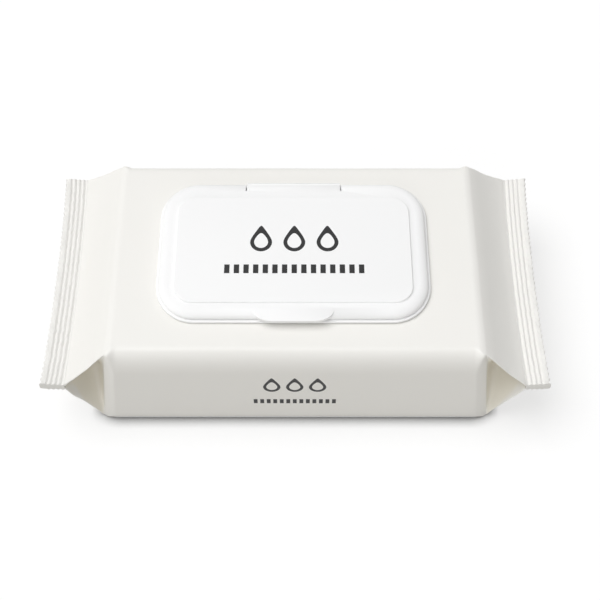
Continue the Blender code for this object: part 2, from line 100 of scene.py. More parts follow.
class Wire:
    """A socket of a node tree that takes part in Python sums."""

    def __init__(self, tree: "Tree", socket: bpy.types.NodeSocket) -> None:
        """Keep the tree and the output socket."""
        self.tree = tree
        self.socket = socket

    def __add__(self, other: "Wire | float") -> "Wire":
        """Sum."""
        return self.tree.math("ADD", self, other)

    __radd__ = __add__

    def __mul__(self, other: "Wire | float") -> "Wire":
        """Product."""
        return self.tree.math("MULTIPLY", self, other)

    __rmul__ = __mul__

    def __sub__(self, other: "Wire | float") -> "Wire":
        """Difference."""
        return self.tree.math("SUBTRACT", self, other)

    def __rsub__(self, other: float) -> "Wire":
        """Difference from a number."""
        return self.tree.math("SUBTRACT", other, self)

    def __truediv__(self, other: "Wire | float") -> "Wire":
        """Quotient."""
        return self.tree.math("DIVIDE", self, other)

    def __rtruediv__(self, other: float) -> "Wire":
        """A number over the value."""
        return self.tree.math("DIVIDE", other, self)

    def __neg__(self) -> "Wire":
        """Opposite sign."""
        return self.tree.math("MULTIPLY", self, -1.0)

    def clamped(self) -> "Wire":
        """The value held between 0 and 1."""
        return self.tree.math("MINIMUM", self.tree.math("MAXIMUM", self, 0.0), 1.0)


class Tree:
    """A node tree with one way of adding nodes, and maths on wires."""

    def __init__(self, tree: bpy.types.NodeTree) -> None:
        """Keep the tree that nodes go into."""
        self.tree = tree

    def add(self, kind: str, settings: dict | None = None, **inputs: object) -> bpy.types.Node:
        """Add a node.

        Args:
            kind: The node's type.
            settings: Its properties, which are set first.
            inputs: Values or wires by socket name, with spaces as underscores, or by "i" and a
                number.

        Returns:
            The new node.
        """
        node = self.tree.nodes.new(kind)
        for name, value in (settings or {}).items():
            setattr(node, name, value)
        for name, value in inputs.items():
            numbered = name[0] == "i" and name[1:].isdigit()
            socket = node.inputs[int(name[1:]) if numbered else name.replace("_", " ")]
            self.feed(socket, value)
        return node

    def feed(self, socket: bpy.types.NodeSocket, value: object) -> None:
        """Link a wire to a socket, or set the socket's own value.

        Args:
            socket: The input socket.
            value: The wire or the value.
        """
        if isinstance(value, Wire):
            self.tree.links.new(value.socket, socket)
        else:
            socket.default_value = value

    def out(self, node: bpy.types.Node, name: str | int = 0) -> Wire:
        """The named or numbered output of a node, as a wire."""
        return Wire(self, node.outputs[name])

    def math(self, operation: str, *values: "Wire | float") -> Wire:
        """A Math node of the operation on up to three values."""
        sockets = {f"i{index}": value for index, value in enumerate(values)}
        return self.out(self.add("ShaderNodeMath", {"operation": operation}, **sockets))

    def split(self, vector: Wire) -> tuple[Wire, Wire, Wire]:
        """The three parts of a vector."""
        node = self.add("ShaderNodeSeparateXYZ", None, Vector=vector)
        return self.out(node, "X"), self.out(node, "Y"), self.out(node, "Z")

    def vector(self, x: "Wire | float", y: "Wire | float", z: "Wire | float") -> Wire:
        """A vector from its three parts."""
        return self.out(self.add("ShaderNodeCombineXYZ", None, X=x, Y=y, Z=z))


class Shade(Tree):
    """A material's tree round its Principled shader."""

    def __init__(self, name: str) -> None:
        """Make the material with its Principled shader.

        Args:
            name: The material's name.
        """
        self.material = bpy.data.materials.new(name)
        self.material.use_nodes = True
        super().__init__(self.material.node_tree)
        self.shader = self.tree.nodes["Principled BSDF"]
        self.place = self.out(self.add("ShaderNodeTexCoord"), "Object")

    def set(self, **values: object) -> None:
        """Set or link sockets of the Principled shader by name, with spaces as underscores."""
        for name, value in values.items():
            self.feed(self.shader.inputs[name.replace("_", " ")], value)

    def noise(self, scale: float, detail: float = 2.0, at: Wire | None = None) -> Wire:
        """Noise of a scale per metre, at the object's own place unless another is given."""
        inputs = {"Vector": at or self.place, "Scale": scale, "Detail": detail}
        return self.out(self.add("ShaderNodeTexNoise", None, **inputs), "Fac")

    def stretched(self, x: float, y: float, z: float) -> Wire:
        """The object's own place, scaled along each axis."""
        inputs = {"i0": self.place, "i1": (x, y, z)}
        return self.out(self.add("ShaderNodeVectorMath", {"operation": "MULTIPLY"}, **inputs))

    def colours(self, factor: Wire, first: "Wire | Point3", second: "Wire | Point3") -> Wire:
        """A mix of two colours.

        Args:
            factor: 0 for the first and 1 for the second.
            first: The first colour, as a wire or as red, green and blue.
            second: The second colour.

        Returns:
            The mixed colour.
        """
        node = self.add("ShaderNodeMix", {"data_type": "RGBA"}, Factor=factor)
        for index, colour in ((6, first), (7, second)):
            self.feed(node.inputs[index], colour if isinstance(colour, Wire) else (*colour, 1.0))
        return self.out(node, 2)

    def bump(self, height: Wire, distance: float, strength: float = 1.0) -> None:
        """Feed a height of 0 to 1 into the shader's normal, that many metres deep."""
        node = self.add("ShaderNodeBump", None, Height=height, Distance=distance, Strength=strength)
        self.set(Normal=self.out(node, "Normal"))


class Geometry(Tree):
    """A Geometry Nodes tree with named inputs, turned into a plain mesh."""

    def __init__(self, name: str) -> None:
        """Make the tree with its geometry output.

        Args:
            name: The tree's name, and that of the piece it makes.
        """
        self.group = bpy.data.node_groups.new(name, "GeometryNodeTree")
        super().__init__(self.group)
        sockets = self.group.interface
        sockets.new_socket("Geometry", in_out="OUTPUT", socket_type="NodeSocketGeometry")
        self.values: dict[str, object] = {}
        self.entry = self.add("NodeGroupInput")
        self.name = name

    def size(self, name: str, value: float) -> Wire:
        """A named number that the modifier sets.

        Args:
            name: The input's name.
            value: Its value, whole or not.

        Returns:
            The input, as a wire.
        """
        kind = "NodeSocketInt" if isinstance(value, int) else "NodeSocketFloat"
        socket = self.group.interface.new_socket(name, in_out="INPUT", socket_type=kind)
        self.values[socket.identifier] = value
        return Wire(self, self.entry.outputs[name])

    def place(self) -> tuple[Wire, Wire, Wire]:
        """The three parts of the position field."""
        return self.split(self.out(self.add("GeometryNodeInputPosition")))

    def moved(self, geometry: Wire, position: Wire) -> Wire:
        """The geometry with its points set to a position."""
        node = self.add("GeometryNodeSetPosition", None, Geometry=geometry, Position=position)
        return self.out(node)

    def finished(self, geometry: Wire, material: bpy.types.Material) -> bpy.types.Object:
        """Realise the geometry, give it its material and turn it into a plain mesh object.

        Args:
            geometry: The wire that holds the whole piece.
            material: The piece's material.

        Returns:
            The object, at the origin and without a modifier.
        """
        real = self.out(self.add("GeometryNodeRealizeInstances", None, Geometry=geometry))
        dressed = self.add("GeometryNodeSetMaterial", None, Geometry=real, Material=material)
        end = self.add("NodeGroupOutput")
        self.tree.links.new(dressed.outputs[0], end.inputs[0])
        holder = bpy.data.objects.new(self.name + "_tree", bpy.data.meshes.new(self.name + "_tree"))
        bpy.context.scene.collection.objects.link(holder)
        modifier = holder.modifiers.new("Shape", "NODES")
        modifier.node_group = self.group
        for identifier, value in self.values.items():
            modifier[identifier] = value
        graph = bpy.context.evaluated_depsgraph_get()
        mesh = bpy.data.meshes.new_from_object(holder.evaluated_get(graph))
        mesh.name = self.name
        bpy.data.objects.remove(holder)
        if not mesh.materials:
            mesh.materials.append(material)
        return new_object(self.name, mesh)


# Finishes


@dataclass(frozen=True)
class FilmFinish:
    """Warm white printed laminate with a satin face, soft handling creases and painted warm shade
    inside the end tucks.
    """

    name: str = "printed_film"
    pale: Point3 = (0.915, 0.904, 0.870)
    deep: Point3 = (0.900, 0.888, 0.852)
    # Painted shade: a darker, warmer colour inside the end tucks, laid where the tuck fields put
    # it.
    painted_tuck_shade: Point3 = (0.905, 0.872, 0.785)
    tuck_place: Point3 = (0.0797, 0.0800, 0.0950)
    tuck_top: Point2 = (0.0479, 0.0310)
    tuck_bottom: float = 0.0286
    tuck_lean: float = 0.0025
    tuck_sag: float = 0.0013
    tuck_margins: Point3 = (0.0012, 0.0007, 0.0004)
    tuck_fades: Point3 = (0.0015, 0.0008, 0.0008)
    roughness: float = 0.42
    coat: float = 0.12
    soft_scale: float = 22.0
    crease_scale: float = 60.0
    mottle_scale: float = 260.0
    grain_scale: float = 900.0
    crease_depth: float = 0.0005

    def build(self) -> bpy.types.Material:
        """Build the material.

        Returns:
            The film's material.
        """
        shade = Shade(self.name)
        soft = shade.noise(self.soft_scale, 3.0)
        plain = shade.colours(soft, self.deep, self.pale)
        # Painted shade: the colour turns darker and warmer inside the end tucks.
        shade.set(Base_Color=shade.colours(self.tucked(shade), plain, self.painted_tuck_shade))
        grain = shade.noise(self.grain_scale, 2.0)
        shade.set(Roughness=self.roughness + (grain - 0.5) * 0.12 + (soft - 0.5) * 0.08)
        shade.set(Coat_Weight=self.coat, Coat_Roughness=0.25, IOR=1.46)
        creases = shade.noise(self.crease_scale, 4.0, shade.stretched(1.0, 0.55, 1.0))
        height = creases * 0.8 + grain * 0.06 + shade.noise(self.mottle_scale, 2.0) * 0.14
        shade.bump(height, self.crease_depth, 0.35)
        return shade.material

    def tucked(self, shade: Shade) -> Wire:
        """The mask of the painted shade: where the film lies folded under itself at the ends.

        Args:
            shade: The material's tree.

        Returns:
            0 on the open faces and 1 inside the tucks.
        """
        x, _, z = shade.split(shade.place)
        start, bend, end = self.tuck_place
        high, low = self.tuck_top
        top_margin, bottom_margin, start_margin = self.tuck_margins
        top_fade, bottom_fade, start_fade = self.tuck_fades
        run = end - start
        lean = (1.0 - z * (2 / high)) * self.tuck_lean
        station = (shade.math("ABSOLUTE", x) * run - lean * end) / (run - lean)
        along = ((station - bend) / (end - bend)).clamped()
        share = ((station - start) / run).clamped()
        sink = share * (1.0 - share) * (4 * self.tuck_sag)
        top = high - along * (high - low) - sink
        bottom = along * self.tuck_bottom - sink
        below = ((top - z - top_margin) / top_fade).clamped()
        above = ((z - bottom - bottom_margin) / bottom_fade).clamped()
        return below * above * ((station - start - start_margin) / start_fade).clamped()


@dataclass(frozen=True)
class PlasticFinish:
    """White moulded polypropylene: a fine spark-eroded satin with faint flow marks."""

    name: str = "white_polypropylene"
    pale: Point3 = (0.957, 0.958, 0.958)
    deep: Point3 = (0.950, 0.951, 0.952)
    roughness: float = 0.56
    flow_scale: float = 14.0
    grain_scale: float = 2600.0
    grain_depth: float = 0.00003

    def build(self) -> bpy.types.Material:
        """Build the material.

        Returns:
            The plastic's material.
        """
        shade = Shade(self.name)
        flow = shade.noise(self.flow_scale, 2.0, shade.stretched(1.0, 1.8, 1.0))
        grain = shade.noise(self.grain_scale, 1.0)
        shade.set(Base_Color=shade.colours(flow, self.deep, self.pale))
        shade.set(Roughness=self.roughness + (grain - 0.5) * 0.10 + (flow - 0.5) * 0.06)
        shade.set(IOR=1.49, Specular_IOR_Level=0.38)
        shade.bump(grain, self.grain_depth, 0.5)
        return shade.material


@dataclass(frozen=True)
class NonwovenFinish:
    """Damp nonwoven cloth: matted fibres with a fine pressed diamond pattern."""

    name: str = "wet_nonwoven"
    pale: Point3 = (0.93, 0.94, 0.945)
    deep: Point3 = (0.83, 0.85, 0.86)
    pitch: float = 0.0026
    roughness: float = 0.62
    fibre_scale: float = 700.0
    cross_scale: float = 900.0
    fibre_depth: float = 0.0003

    def build(self) -> bpy.types.Material:
        """Build the material.

        Returns:
            The wipes' material.
        """
        shade = Shade(self.name)
        fibres = shade.noise(self.fibre_scale, 6.0, shade.stretched(0.35, 1.6, 1.0))
        cross = shade.noise(self.cross_scale, 5.0, shade.stretched(1.7, 0.4, 1.0))
        x, y, _ = shade.split(shade.place)
        turn = 2 * math.pi / self.pitch
        rows = shade.math("SINE", (x + y) * turn) * shade.math("SINE", (x - y) * turn)
        dents = shade.math("SMOOTH_MIN", rows + 0.5, 1.0, 0.4)
        matted = (fibres + cross) * 0.5
        light = (matted * 0.8 + dents * 0.3).clamped()
        shade.set(Base_Color=shade.colours(light, self.deep, self.pale))
        shade.set(Roughness=self.roughness - matted * 0.2)
        shade.set(Sheen_Weight=0.25, Coat_Weight=0.08, Coat_Roughness=0.3)
        shade.bump(matted * 0.6 + dents * 0.4, self.fibre_depth, 0.8)
        return shade.material


@dataclass(frozen=True)
class InkFinish:
    """Printing ink: one dark grey with a faint mottle."""

    name: str = "ink_grey"
    pale: Point3 = (0.026, 0.026, 0.028)
    deep: Point3 = (0.013, 0.013, 0.014)
    mottle_scale: float = 500.0
    mottle_depth: float = 0.00002

    def build(self) -> bpy.types.Material:
        """Build the material.

        Returns:
            The ink's material.
        """
        shade = Shade(self.name)
        mottle = shade.noise(self.mottle_scale, 3.0)
        shade.set(Base_Color=shade.colours(mottle, self.deep, self.pale))
        shade.set(Roughness=0.45 + mottle * 0.1)
        shade.bump(mottle, self.mottle_depth, 0.3)
        return shade.material


@dataclass(frozen=True)
class FloorFinish:
    """The pale studio floor: white to the camera with the pack's shadow on it, and painted shade
    close by the pack.
    """

    name: str = "studio_floor"
    painted_shade_reach: float = 0.0055
    painted_shade_samples: int = 12
    painted_shade_depth: float = 0.45
    white_share: float = 0.55
    white: float = 1.07
    lit: Point3 = (0.97, 0.97, 0.97)
    bounce: Point3 = (0.495, 0.480, 0.445)

    def build(self) -> bpy.types.Material:
        """Build the material.

        Returns:
            The floor's material.
        """
        shade = Shade(self.name)
        path = shade.add("ShaderNodeLightPath")
        rays = [shade.out(path, name) for name in ("Is Camera Ray", "Is Glossy Ray")]
        seen = shade.math("MAXIMUM", *rays)
        # Painted shade: to the camera, ambient occlusion darkens the floor near the pack and fades
        # its white glow there.
        settings = {"samples": self.painted_shade_samples}
        nearby = shade.add("ShaderNodeAmbientOcclusion", settings, Distance=self.painted_shade_reach)
        painted_contact_shade = ((1.0 - shade.out(nearby, "AO")) * 2.0).clamped() * seen
        lit = shade.colours(painted_contact_shade * self.painted_shade_depth, self.lit, BLACK)
        diffuse = shade.add(
            "ShaderNodeBsdfDiffuse", None, Color=shade.colours(seen, self.bounce, lit)
        )
        glow = shade.add("ShaderNodeEmission", None, Strength=self.white)
        share = seen * self.white_share * (1.0 - painted_contact_shade)
        mixed = shade.add("ShaderNodeMixShader", None, i0=share)
        shade.feed(mixed.inputs[1], shade.out(diffuse))
        shade.feed(mixed.inputs[2], shade.out(glow))
        end = shade.tree.nodes["Material Output"]
        shade.feed(end.inputs["Surface"], shade.out(mixed))
        return shade.material


# Mesh helpers


def new_object(name: str, mesh: bpy.types.Mesh) -> bpy.types.Object:
    """Link a new object that holds the mesh.

    Args:
        name: The object's name.
        mesh: Its mesh.

    Returns:
        The object, at the origin.
    """
    obj = bpy.data.objects.new(name, mesh)
    bpy.context.scene.collection.objects.link(obj)
    return obj


def loft(name: str, rings: list[list[Point3]], closed: bool = False) -> bpy.types.Mesh:
    """Skin rings of as many points each.

    Args:
        name: The mesh's name.
        rings: The rings in order.
        closed: Join the last ring to the first instead of capping both.

    Returns:
        The closed mesh with its faces pointing out.
    """
    build = bmesh.new()
    rows = [[build.verts.new(point) for point in ring] for ring in rings]
    pairs = list(zip(rows, rows[1:]))
    if closed:
        pairs.append((rows[-1], rows[0]))
    for first, second in pairs:
        for index in range(len(first)):
            after = (index + 1) % len(first)
            build.faces.new((first[index], first[after], second[after], second[index]))
    if not closed:
        build.faces.new(list(reversed(rows[0])))
        build.faces.new(rows[-1])
    bmesh.ops.recalc_face_normals(build, faces=build.faces)
    mesh = bpy.data.meshes.new(name)
    build.to_mesh(mesh)
    build.free()
    return mesh


def prism(name: str, outline: list[Point2], low: float, high: float) -> bpy.types.Mesh:
    """An upright prism over an outline in X and Y."""
    return loft(name, [at_height(outline, z) for z in (low, high)])


def box_mesh(name: str, low: Point3, high: Point3) -> bpy.types.Mesh:
    """A box between two corners."""
    outline = [(low[0], low[1]), (high[0], low[1]), (high[0], high[1]), (low[0], high[1])]
    return prism(name, outline, low[2], high[2])


def combine(obj: bpy.types.Object, mesh: bpy.types.Mesh, operation: str) -> None:
    """Cut the mesh out of the object, or join it on, for good.

    Args:
        obj: The object that changes.
        mesh: The closed mesh.
        operation: DIFFERENCE or UNION.
    """
    helper = new_object(mesh.name, mesh)
    modifier = obj.modifiers.new(mesh.name, "BOOLEAN")
    modifier.operation = operation
    modifier.solver = "EXACT"
    modifier.object = helper
    settle(obj)
    bpy.data.objects.remove(helper)


def add_shell(obj: bpy.types.Object, mesh: bpy.types.Mesh) -> None:
    """Add the mesh's faces to the object's, as they are.

    Args:
        obj: The object that takes them.
        mesh: The mesh, which is removed.
    """
    build = bmesh.new()
    build.from_mesh(obj.data)
    build.from_mesh(mesh)
    build.to_mesh(obj.data)
    build.free()
    bpy.data.meshes.remove(mesh)


def settle(obj: bpy.types.Object) -> None:
    """Replace the object's mesh by its evaluated one and drop its modifiers.

    Args:
        obj: The object with live modifiers.
    """
    graph = bpy.context.evaluated_depsgraph_get()
    mesh = bpy.data.meshes.new_from_object(obj.evaluated_get(graph))
    mesh.name = obj.data.name
    obj.modifiers.clear()
    obj.data = mesh


def soften(obj: bpy.types.Object, width: float, segments: int, angle: float) -> None:
    """Bevel the object's sharp edges for good.

    Args:
        obj: The object.
        width: The bevel's width.
        segments: How many faces it has across.
        angle: The least angle in degrees of an edge that is bevelled.
    """
    modifier = obj.modifiers.new("Soft_edges", "BEVEL")
    modifier.width = width
    modifier.segments = segments
    modifier.limit_method = "ANGLE"
    modifier.angle_limit = math.radians(angle)
    modifier.use_clamp_overlap = True
    settle(obj)


def dress(obj: bpy.types.Object, material: bpy.types.Material, angle: float) -> None:
    """Give the object one material and slot, shaded smooth.

    Args:
        obj: The finished piece.
        material: Its material.
        angle: The least angle in degrees of an edge that stays sharp.
    """
    obj.data.materials.clear()
    obj.data.materials.append(material)
    obj.data.shade_smooth()
    obj.data.set_sharp_from_angle(angle=math.radians(angle))


def at_height(outline: list[Point2], z: float) -> list[Point3]:
    """The outline's points at one height."""
    return [(x, y, z) for x, y in outline]


def clamp(value: float, low: float, high: float) -> float:
    """The value, held between low and high."""
    return max(low, min(high, value))


def smooth(share: float) -> float:
    """A soft step from 0 to 1."""
    held = clamp(share, 0.0, 1.0)
    return held * held * (3 - 2 * held)


def unit(vector: Point2) -> Point2:
    """The vector at length 1."""
    length = math.hypot(*vector)
    return vector[0] / length, vector[1] / length


# Film


@dataclass
class FilmPack:
    """The folded film: a box round the wipes with tucked ends, as fine sections along X."""

    finish: bpy.types.Material
    wall: float = 0.0004
    bottom_depth: float = 0.1065
    top_depth: float = 0.103
    bottom_length: float = 0.165
    top_length: float = 0.155
    top_edge_run: float = 0.006
    top_edge_drop: float = 0.0115
    bottom_edge_radius: float = 0.004
    top_ease: float = 0.0035
    bottom_ease: float = 0.0015
    top_corner_drop: float = 0.0028
    bottom_corner_drop: float = 0.0021
    tuck_lead: float = 0.0003
    edge_run: float = 0.005
    corner_run: float = 0.0045
    corner_power: float = 1.35
    fold_edge: float = 0.0012
    fold_room: float = 0.00055
    fold_trim: float = 0.0005
    crease_trim: float = 0.001
    panel_bow: float = 0.007
    bow_share: float = 0.8
    sag: float = 0.0013
    seal_bow: float = 0.0012
    flare: float = 0.55
    fold_wave: Point2 = (0.0004, 0.0012)
    fin_width: float = 0.012
    fin_length: float = 0.150
    fin_groove: Point2 = (0.0005, 0.0002)
    seal_start: float = 0.095
    seal_height: float = 0.0298
    seal_overlap: float = 0.0006
    seal_approach: float = 0.0002
    corner_stations: int = 20
    tuck_stations: int = 44
    middle_stations: int = 70
    tuck_spacing: float = 1.6
    corner_steps: tuple[int, ...] = (14, 3, 12, 3, 12, 3, 6)
    edge_steps: tuple[int, ...] = (30, 2, 2, 2, 2, 2, 2, 8)
    opening_ledge: float = 0.0015
    opening_cut: Point2 = (0.0013, 0.001)
    billow: float = 0.00022
    billow_scale: float = 28.0
    slope_billow: float = 0.00035
    slope_scale: Point2 = (45.0, 130.0)
    slope_fade: Point2 = (0.004, 0.012)
    face_scale: float = 24.0
    face_fade: Point2 = (0.004, 0.01)
    foot_fade: Point2 = (0.004, 0.006)
    top_fade: float = 0.002
    seal_fade: float = 0.004
    fold_wave_scale: float = 210.0
    fold_wave_from: Point2 = (0.88, 0.08)
    ring_thickness: float = 0.55
    ring_squareness: float = 1.35
    height: float = field(init=False)
    seal_depth: float = field(init=False)
    body_end: float = field(init=False)
    tuck_start: float = field(init=False)

    def __post_init__(self) -> None:
        """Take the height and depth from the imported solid, and work out where the ends begin."""
        low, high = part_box("film_wrapper")
        self.height = high.z
        self.seal_depth = high.y - low.y
        self.body_end = (self.top_length + self.bottom_length) / 4
        self.tuck_start = self.body_end - self.tuck_lead

    def ramp(self, distance: float, ease: float) -> float:
        """0 before the bend, the distance after it, and a parabola near it.

        Args:
            distance: How far past the bend a place is.
            ease: How near the bend the parabola begins and ends.

        Returns:
            The eased distance.
        """
        if distance <= -ease:
            return 0.0
        if distance >= ease:
            return distance
        return (distance + ease) ** 2 / (4 * ease)

    def top(self, x: float) -> float:
        """Height of the top film.

        Args:
            x: The station.

        Returns:
            The height of its outside.
        """
        fall = self.height - self.seal_height - self.fold_edge
        slope = fall / (self.seal_start - self.body_end)
        return self.height - slope * self.ramp(abs(x) - self.body_end, self.top_ease)

    def bottom(self, x: float) -> float:
        """Height of the bottom film at a station."""
        slope = (self.seal_height - self.fold_edge) / (self.seal_start - self.body_end)
        return slope * self.ramp(abs(x) - self.body_end, self.bottom_ease)

    def tuck_share(self, x: float) -> float:
        """How far a station lies from the start of the tuck, 0, to the seal, 1."""
        run = self.seal_start - self.tuck_start
        return clamp((abs(x) - self.tuck_start) / run, 0.0, 1.0)

    def half_depth(self, x: float, z: float) -> float:
        """Half the pack's depth, drawn in at the upright corners.

        Args:
            x: The station.
            z: The height.

        Returns:
            The distance from the middle to the front or back.
        """
        level = z / self.height
        into = clamp(1 + (abs(x) - self.tuck_start) / self.corner_run, 0.0, 1.0)
        drop = self.bottom_corner_drop + (self.top_corner_drop - self.bottom_corner_drop) * level
        lean = (self.bottom_depth - self.top_depth) / 2 * level
        corner = self.bottom_depth / 2 - lean - drop * into**self.corner_power
        return corner + self.tuck_share(x) * (self.seal_depth / 2 - corner)

    def lean(self, x: float, z: float) -> float:
        """How far outwards a point of a station lies: the box is longer at the bottom.

        Args:
            x: The station.
            z: The point's height.

        Returns:
            The shift away from the middle of the pack, less than 0 near the top.
        """
        outer = (self.seal_start - abs(x)) / (self.seal_start - self.tuck_start)
        share = clamp(min(abs(x) / self.tuck_start, outer), 0.0, 1.0)
        return share * (self.bottom_length - self.top_length) / 4 * (1 - 2 * z / self.height)

    def placed(self, x: float, outline: list[Point2]) -> list[Point3]:
        """A station's outline, leaning with the end it belongs to."""
        side = math.copysign(1.0, x)
        return [(x + side * self.lean(x, z), y, z) for y, z in outline]

    def edges(self, x: float) -> tuple[float, float, float]:
        """The sizes of the long rounded edges at a station.

        Args:
            x: The station.

        Returns:
            Run and drop of the top edge, and radius of the bottom edge.
        """
        share = smooth((self.tuck_start - abs(x)) / self.edge_run)
        folded = self.fold_edge - self.fold_room
        return (
            folded + (self.top_edge_run - folded) * share,
            folded + (self.top_edge_drop - folded) * share,
            folded + (self.bottom_edge_radius - folded) * share,
        )

    def panel(self, x: float) -> Point2:
        """Heights of the upper and lower fold lines of the side panel."""
        _, drop, radius = self.edges(x)
        return self.top(x) - drop - self.fold_room, self.bottom(x) + radius + self.fold_room

    def reach(self, x: float) -> float:
        """How far the side panel's crease lies inside the pack, at one length of panel.

        Args:
            x: The station.

        Returns:
            The distance from the panel's fold lines inwards.
        """
        if abs(x) <= self.tuck_start:
            return 0.0
        upper, lower = self.panel(x)
        whole_upper, whole_lower = self.panel(self.tuck_start)
        return math.sqrt((whole_upper - whole_lower) ** 2 - (upper - lower) ** 2) / 2

    def bow(self, x: float) -> float:
        """How far each half of the tucked panel bows inwards."""
        share = self.tuck_share(x)
        return self.panel_bow * math.sqrt(share) * (1 - share)

    def bowed(self, first: Point2, second: Point2, bow: float) -> Point2:
        """The middle between two points, moved to the right of the way between them.

        Args:
            first: Where the way starts.
            second: Where it ends.
            bow: How far the middle moves.

        Returns:
            The moved middle.
        """
        along = unit((second[0] - first[0], second[1] - first[1]))
        middle = ((first[0] + second[0]) / 2, (first[1] + second[1]) / 2)
        return middle[0] + along[1] * bow, middle[1] - along[0] * bow

    def corner_arc(
        self, before: Point2, corner: Point2, after: Point2, trims: Point2, steps: int
    ) -> list[Spot]:
        """Points, inward normals and room inside them at a rounded corner of a clockwise outline.

        Args:
            before: The corner before it.
            corner: The corner itself.
            after: The corner after it.
            trims: How far before and after the corner the arc starts and ends.
            steps: How many stretches the arc has.

        Returns:
            The spots along the arc.
        """
        go_in = unit((corner[0] - before[0], corner[1] - before[1]))
        go_out = unit((after[0] - corner[0], after[1] - corner[1]))
        back = (-go_in[0] * trims[0], -go_in[1] * trims[0])
        ahead = (go_out[0] * trims[1], go_out[1] * trims[1])
        turn = math.atan2(
            go_in[0] * go_out[1] - go_in[1] * go_out[0],
            go_in[0] * go_out[0] + go_in[1] * go_out[1],
        )
        room = 0.9 * min(trims) / math.tan(-turn / 2) if turn < -0.001 else 1.0
        result = []
        for step in range(steps + 1):
            angle = RIGHT_ANGLE * step / steps
            sine, cosine = math.sin(angle), math.cos(angle)
            point = tuple(
                c + b * (1 - sine) + a * (1 - cosine) for c, b, a in zip(corner, back, ahead)
            )
            along = unit(tuple(a * sine - b * cosine for a, b in zip(ahead, back)))
            result.append((point, (along[1], -along[0]), room))
        return result

    def section(self, x: float, inset: float) -> list[Point3]:
        """The film's outline at a station.

        Args:
            x: The station.
            inset: 0 for the outside, the wall for the inside.

        Returns:
            A closed ring of points.
        """
        top, bottom = self.top(x), self.bottom(x)
        run, drop, radius = self.edges(x)
        upper, lower = self.panel(x)
        middle = (upper + lower) / 2
        tucked = abs(x) + inset
        upper_fold = (self.half_depth(x, upper), upper)
        crease = (self.half_depth(x, middle) - self.reach(tucked), middle)
        lower_fold = (self.half_depth(x, lower), lower)
        upper_bend = self.bowed(upper_fold, crease, self.bow(tucked))
        lower_bend = self.bowed(crease, lower_fold, self.bow(tucked))
        corners = [
            (0.0, top),
            (self.half_depth(x, top), top),
            upper_fold,
            upper_bend,
            crease,
            lower_bend,
            lower_fold,
            (self.half_depth(x, bottom), bottom),
            (0.0, bottom),
        ]
        fold = (self.fold_trim, self.fold_trim)
        upper_trim = self.bow_share * math.dist(upper_fold, upper_bend)
        lower_trim = self.bow_share * math.dist(lower_bend, lower_fold)
        edge = (self.crease_trim, self.crease_trim)
        trims = [
            (run, drop),
            fold,
            (upper_trim, upper_trim),
            edge,
            (lower_trim, lower_trim),
            fold,
            (radius, radius),
        ]
        half = [((0.0, top), (0.0, -1.0), 1.0)]
        for index, trim in enumerate(trims):
            arc = self.corner_arc(*corners[index : index + 3], trim, self.corner_steps[index])
            half += self.filled(half[-1], arc[0], self.edge_steps[index]) + arc
        last = ((0.0, bottom), (0.0, 1.0), 1.0)
        half += self.filled(half[-1], last, self.edge_steps[-1]) + [last]
        outline = []
        for (y, z), (normal_y, normal_z), room in half:
            shift = min(inset, room)
            outline.append((y + normal_y * shift, z + normal_z * shift))
        outline += [(-y, z) for y, z in reversed(outline[1:-1])]
        return [self.billowed(point, top, x) for point in self.placed(x, outline)]

    def filled(self, first: Spot, second: Spot, count: int) -> list[Spot]:
        """Spots between two, without the ends.

        Args:
            first: The spot before them, which gives their inward normal.
            second: The spot after them.
            count: How many stretches they make.

        Returns:
            The spots in order.
        """
        (start, normal, _), (end, _, _) = first, second
        result = []
        for step in range(1, count):
            share = step / count
            point = tuple(a + (b - a) * share for a, b in zip(start, end))
            result.append((point, normal, 1.0))
        return result

    def billowed(self, point: Point3, top: float, station: float) -> Point3:
        """Let the film sink a little, softly and unevenly, and never swell.

        Args:
            point: A point of the smooth shape.
            top: Height of the top film at its station.
            station: The station it belongs to.

        Returns:
            The point of the soft shape.
        """
        x, y, z = point
        spot = Vector(point)
        soft = self.soft_noise(spot * self.billow_scale)
        crisp = self.soft_noise(Vector((x * self.slope_scale[0], y * self.slope_scale[1], 7.0)))
        on_top = smooth((z - top + self.top_fade) / self.top_fade)
        to_seal = smooth((abs(x) - self.top_length / 2 + self.slope_fade[0]) / self.slope_fade[1])
        near_seal = smooth((self.seal_start - abs(x)) / self.seal_fade)
        sink = on_top * near_seal * (self.billow * soft + to_seal * self.slope_billow * crisp)
        side = smooth((self.foot_fade[0] + z) / self.foot_fade[1]) * (1 - on_top)
        flat = smooth((self.tuck_start - self.face_fade[0] - abs(x)) / self.face_fade[1])
        drawn = self.soft_noise(spot * self.face_scale + Vector((3, 0, 0)))
        push = side * flat * self.billow * drawn
        share = self.tuck_share(station)
        sink += 4 * self.sag * share * (1 - share)
        over = abs(2 * y / self.seal_depth)
        z = self.seal_height + (z - self.seal_height) * (1 + self.flare * share**4 * over**8)
        x -= math.copysign(self.seal_bow * smooth(share) * (1 - over**2), x)
        wave = self.fold_wave[0] if z > self.seal_height else self.fold_wave[1]
        row, layer = math.copysign(4.0, y), math.copysign(9.0, z - self.seal_height)
        ripple = noise.noise(Vector((x * self.fold_wave_scale, row, layer)))
        between = smooth(share * 5) * smooth((1 - share) * 5)
        near_edge = smooth((over - self.fold_wave_from[0]) / self.fold_wave_from[1])
        z += wave * ripple * between * near_edge
        return (x, y - math.copysign(push, y), z - sink)

    def soft_noise(self, spot: Vector) -> float:
        """Smooth noise round 0.5 at a spot, the same in each run."""
        return 0.5 + 0.5 * noise.noise(spot)

    def front(self, x: float, z: float) -> float:
        """How far forward the front face lies at a place."""
        return self.billowed((x, -self.half_depth(x, z), z), self.top(x), x)[1]

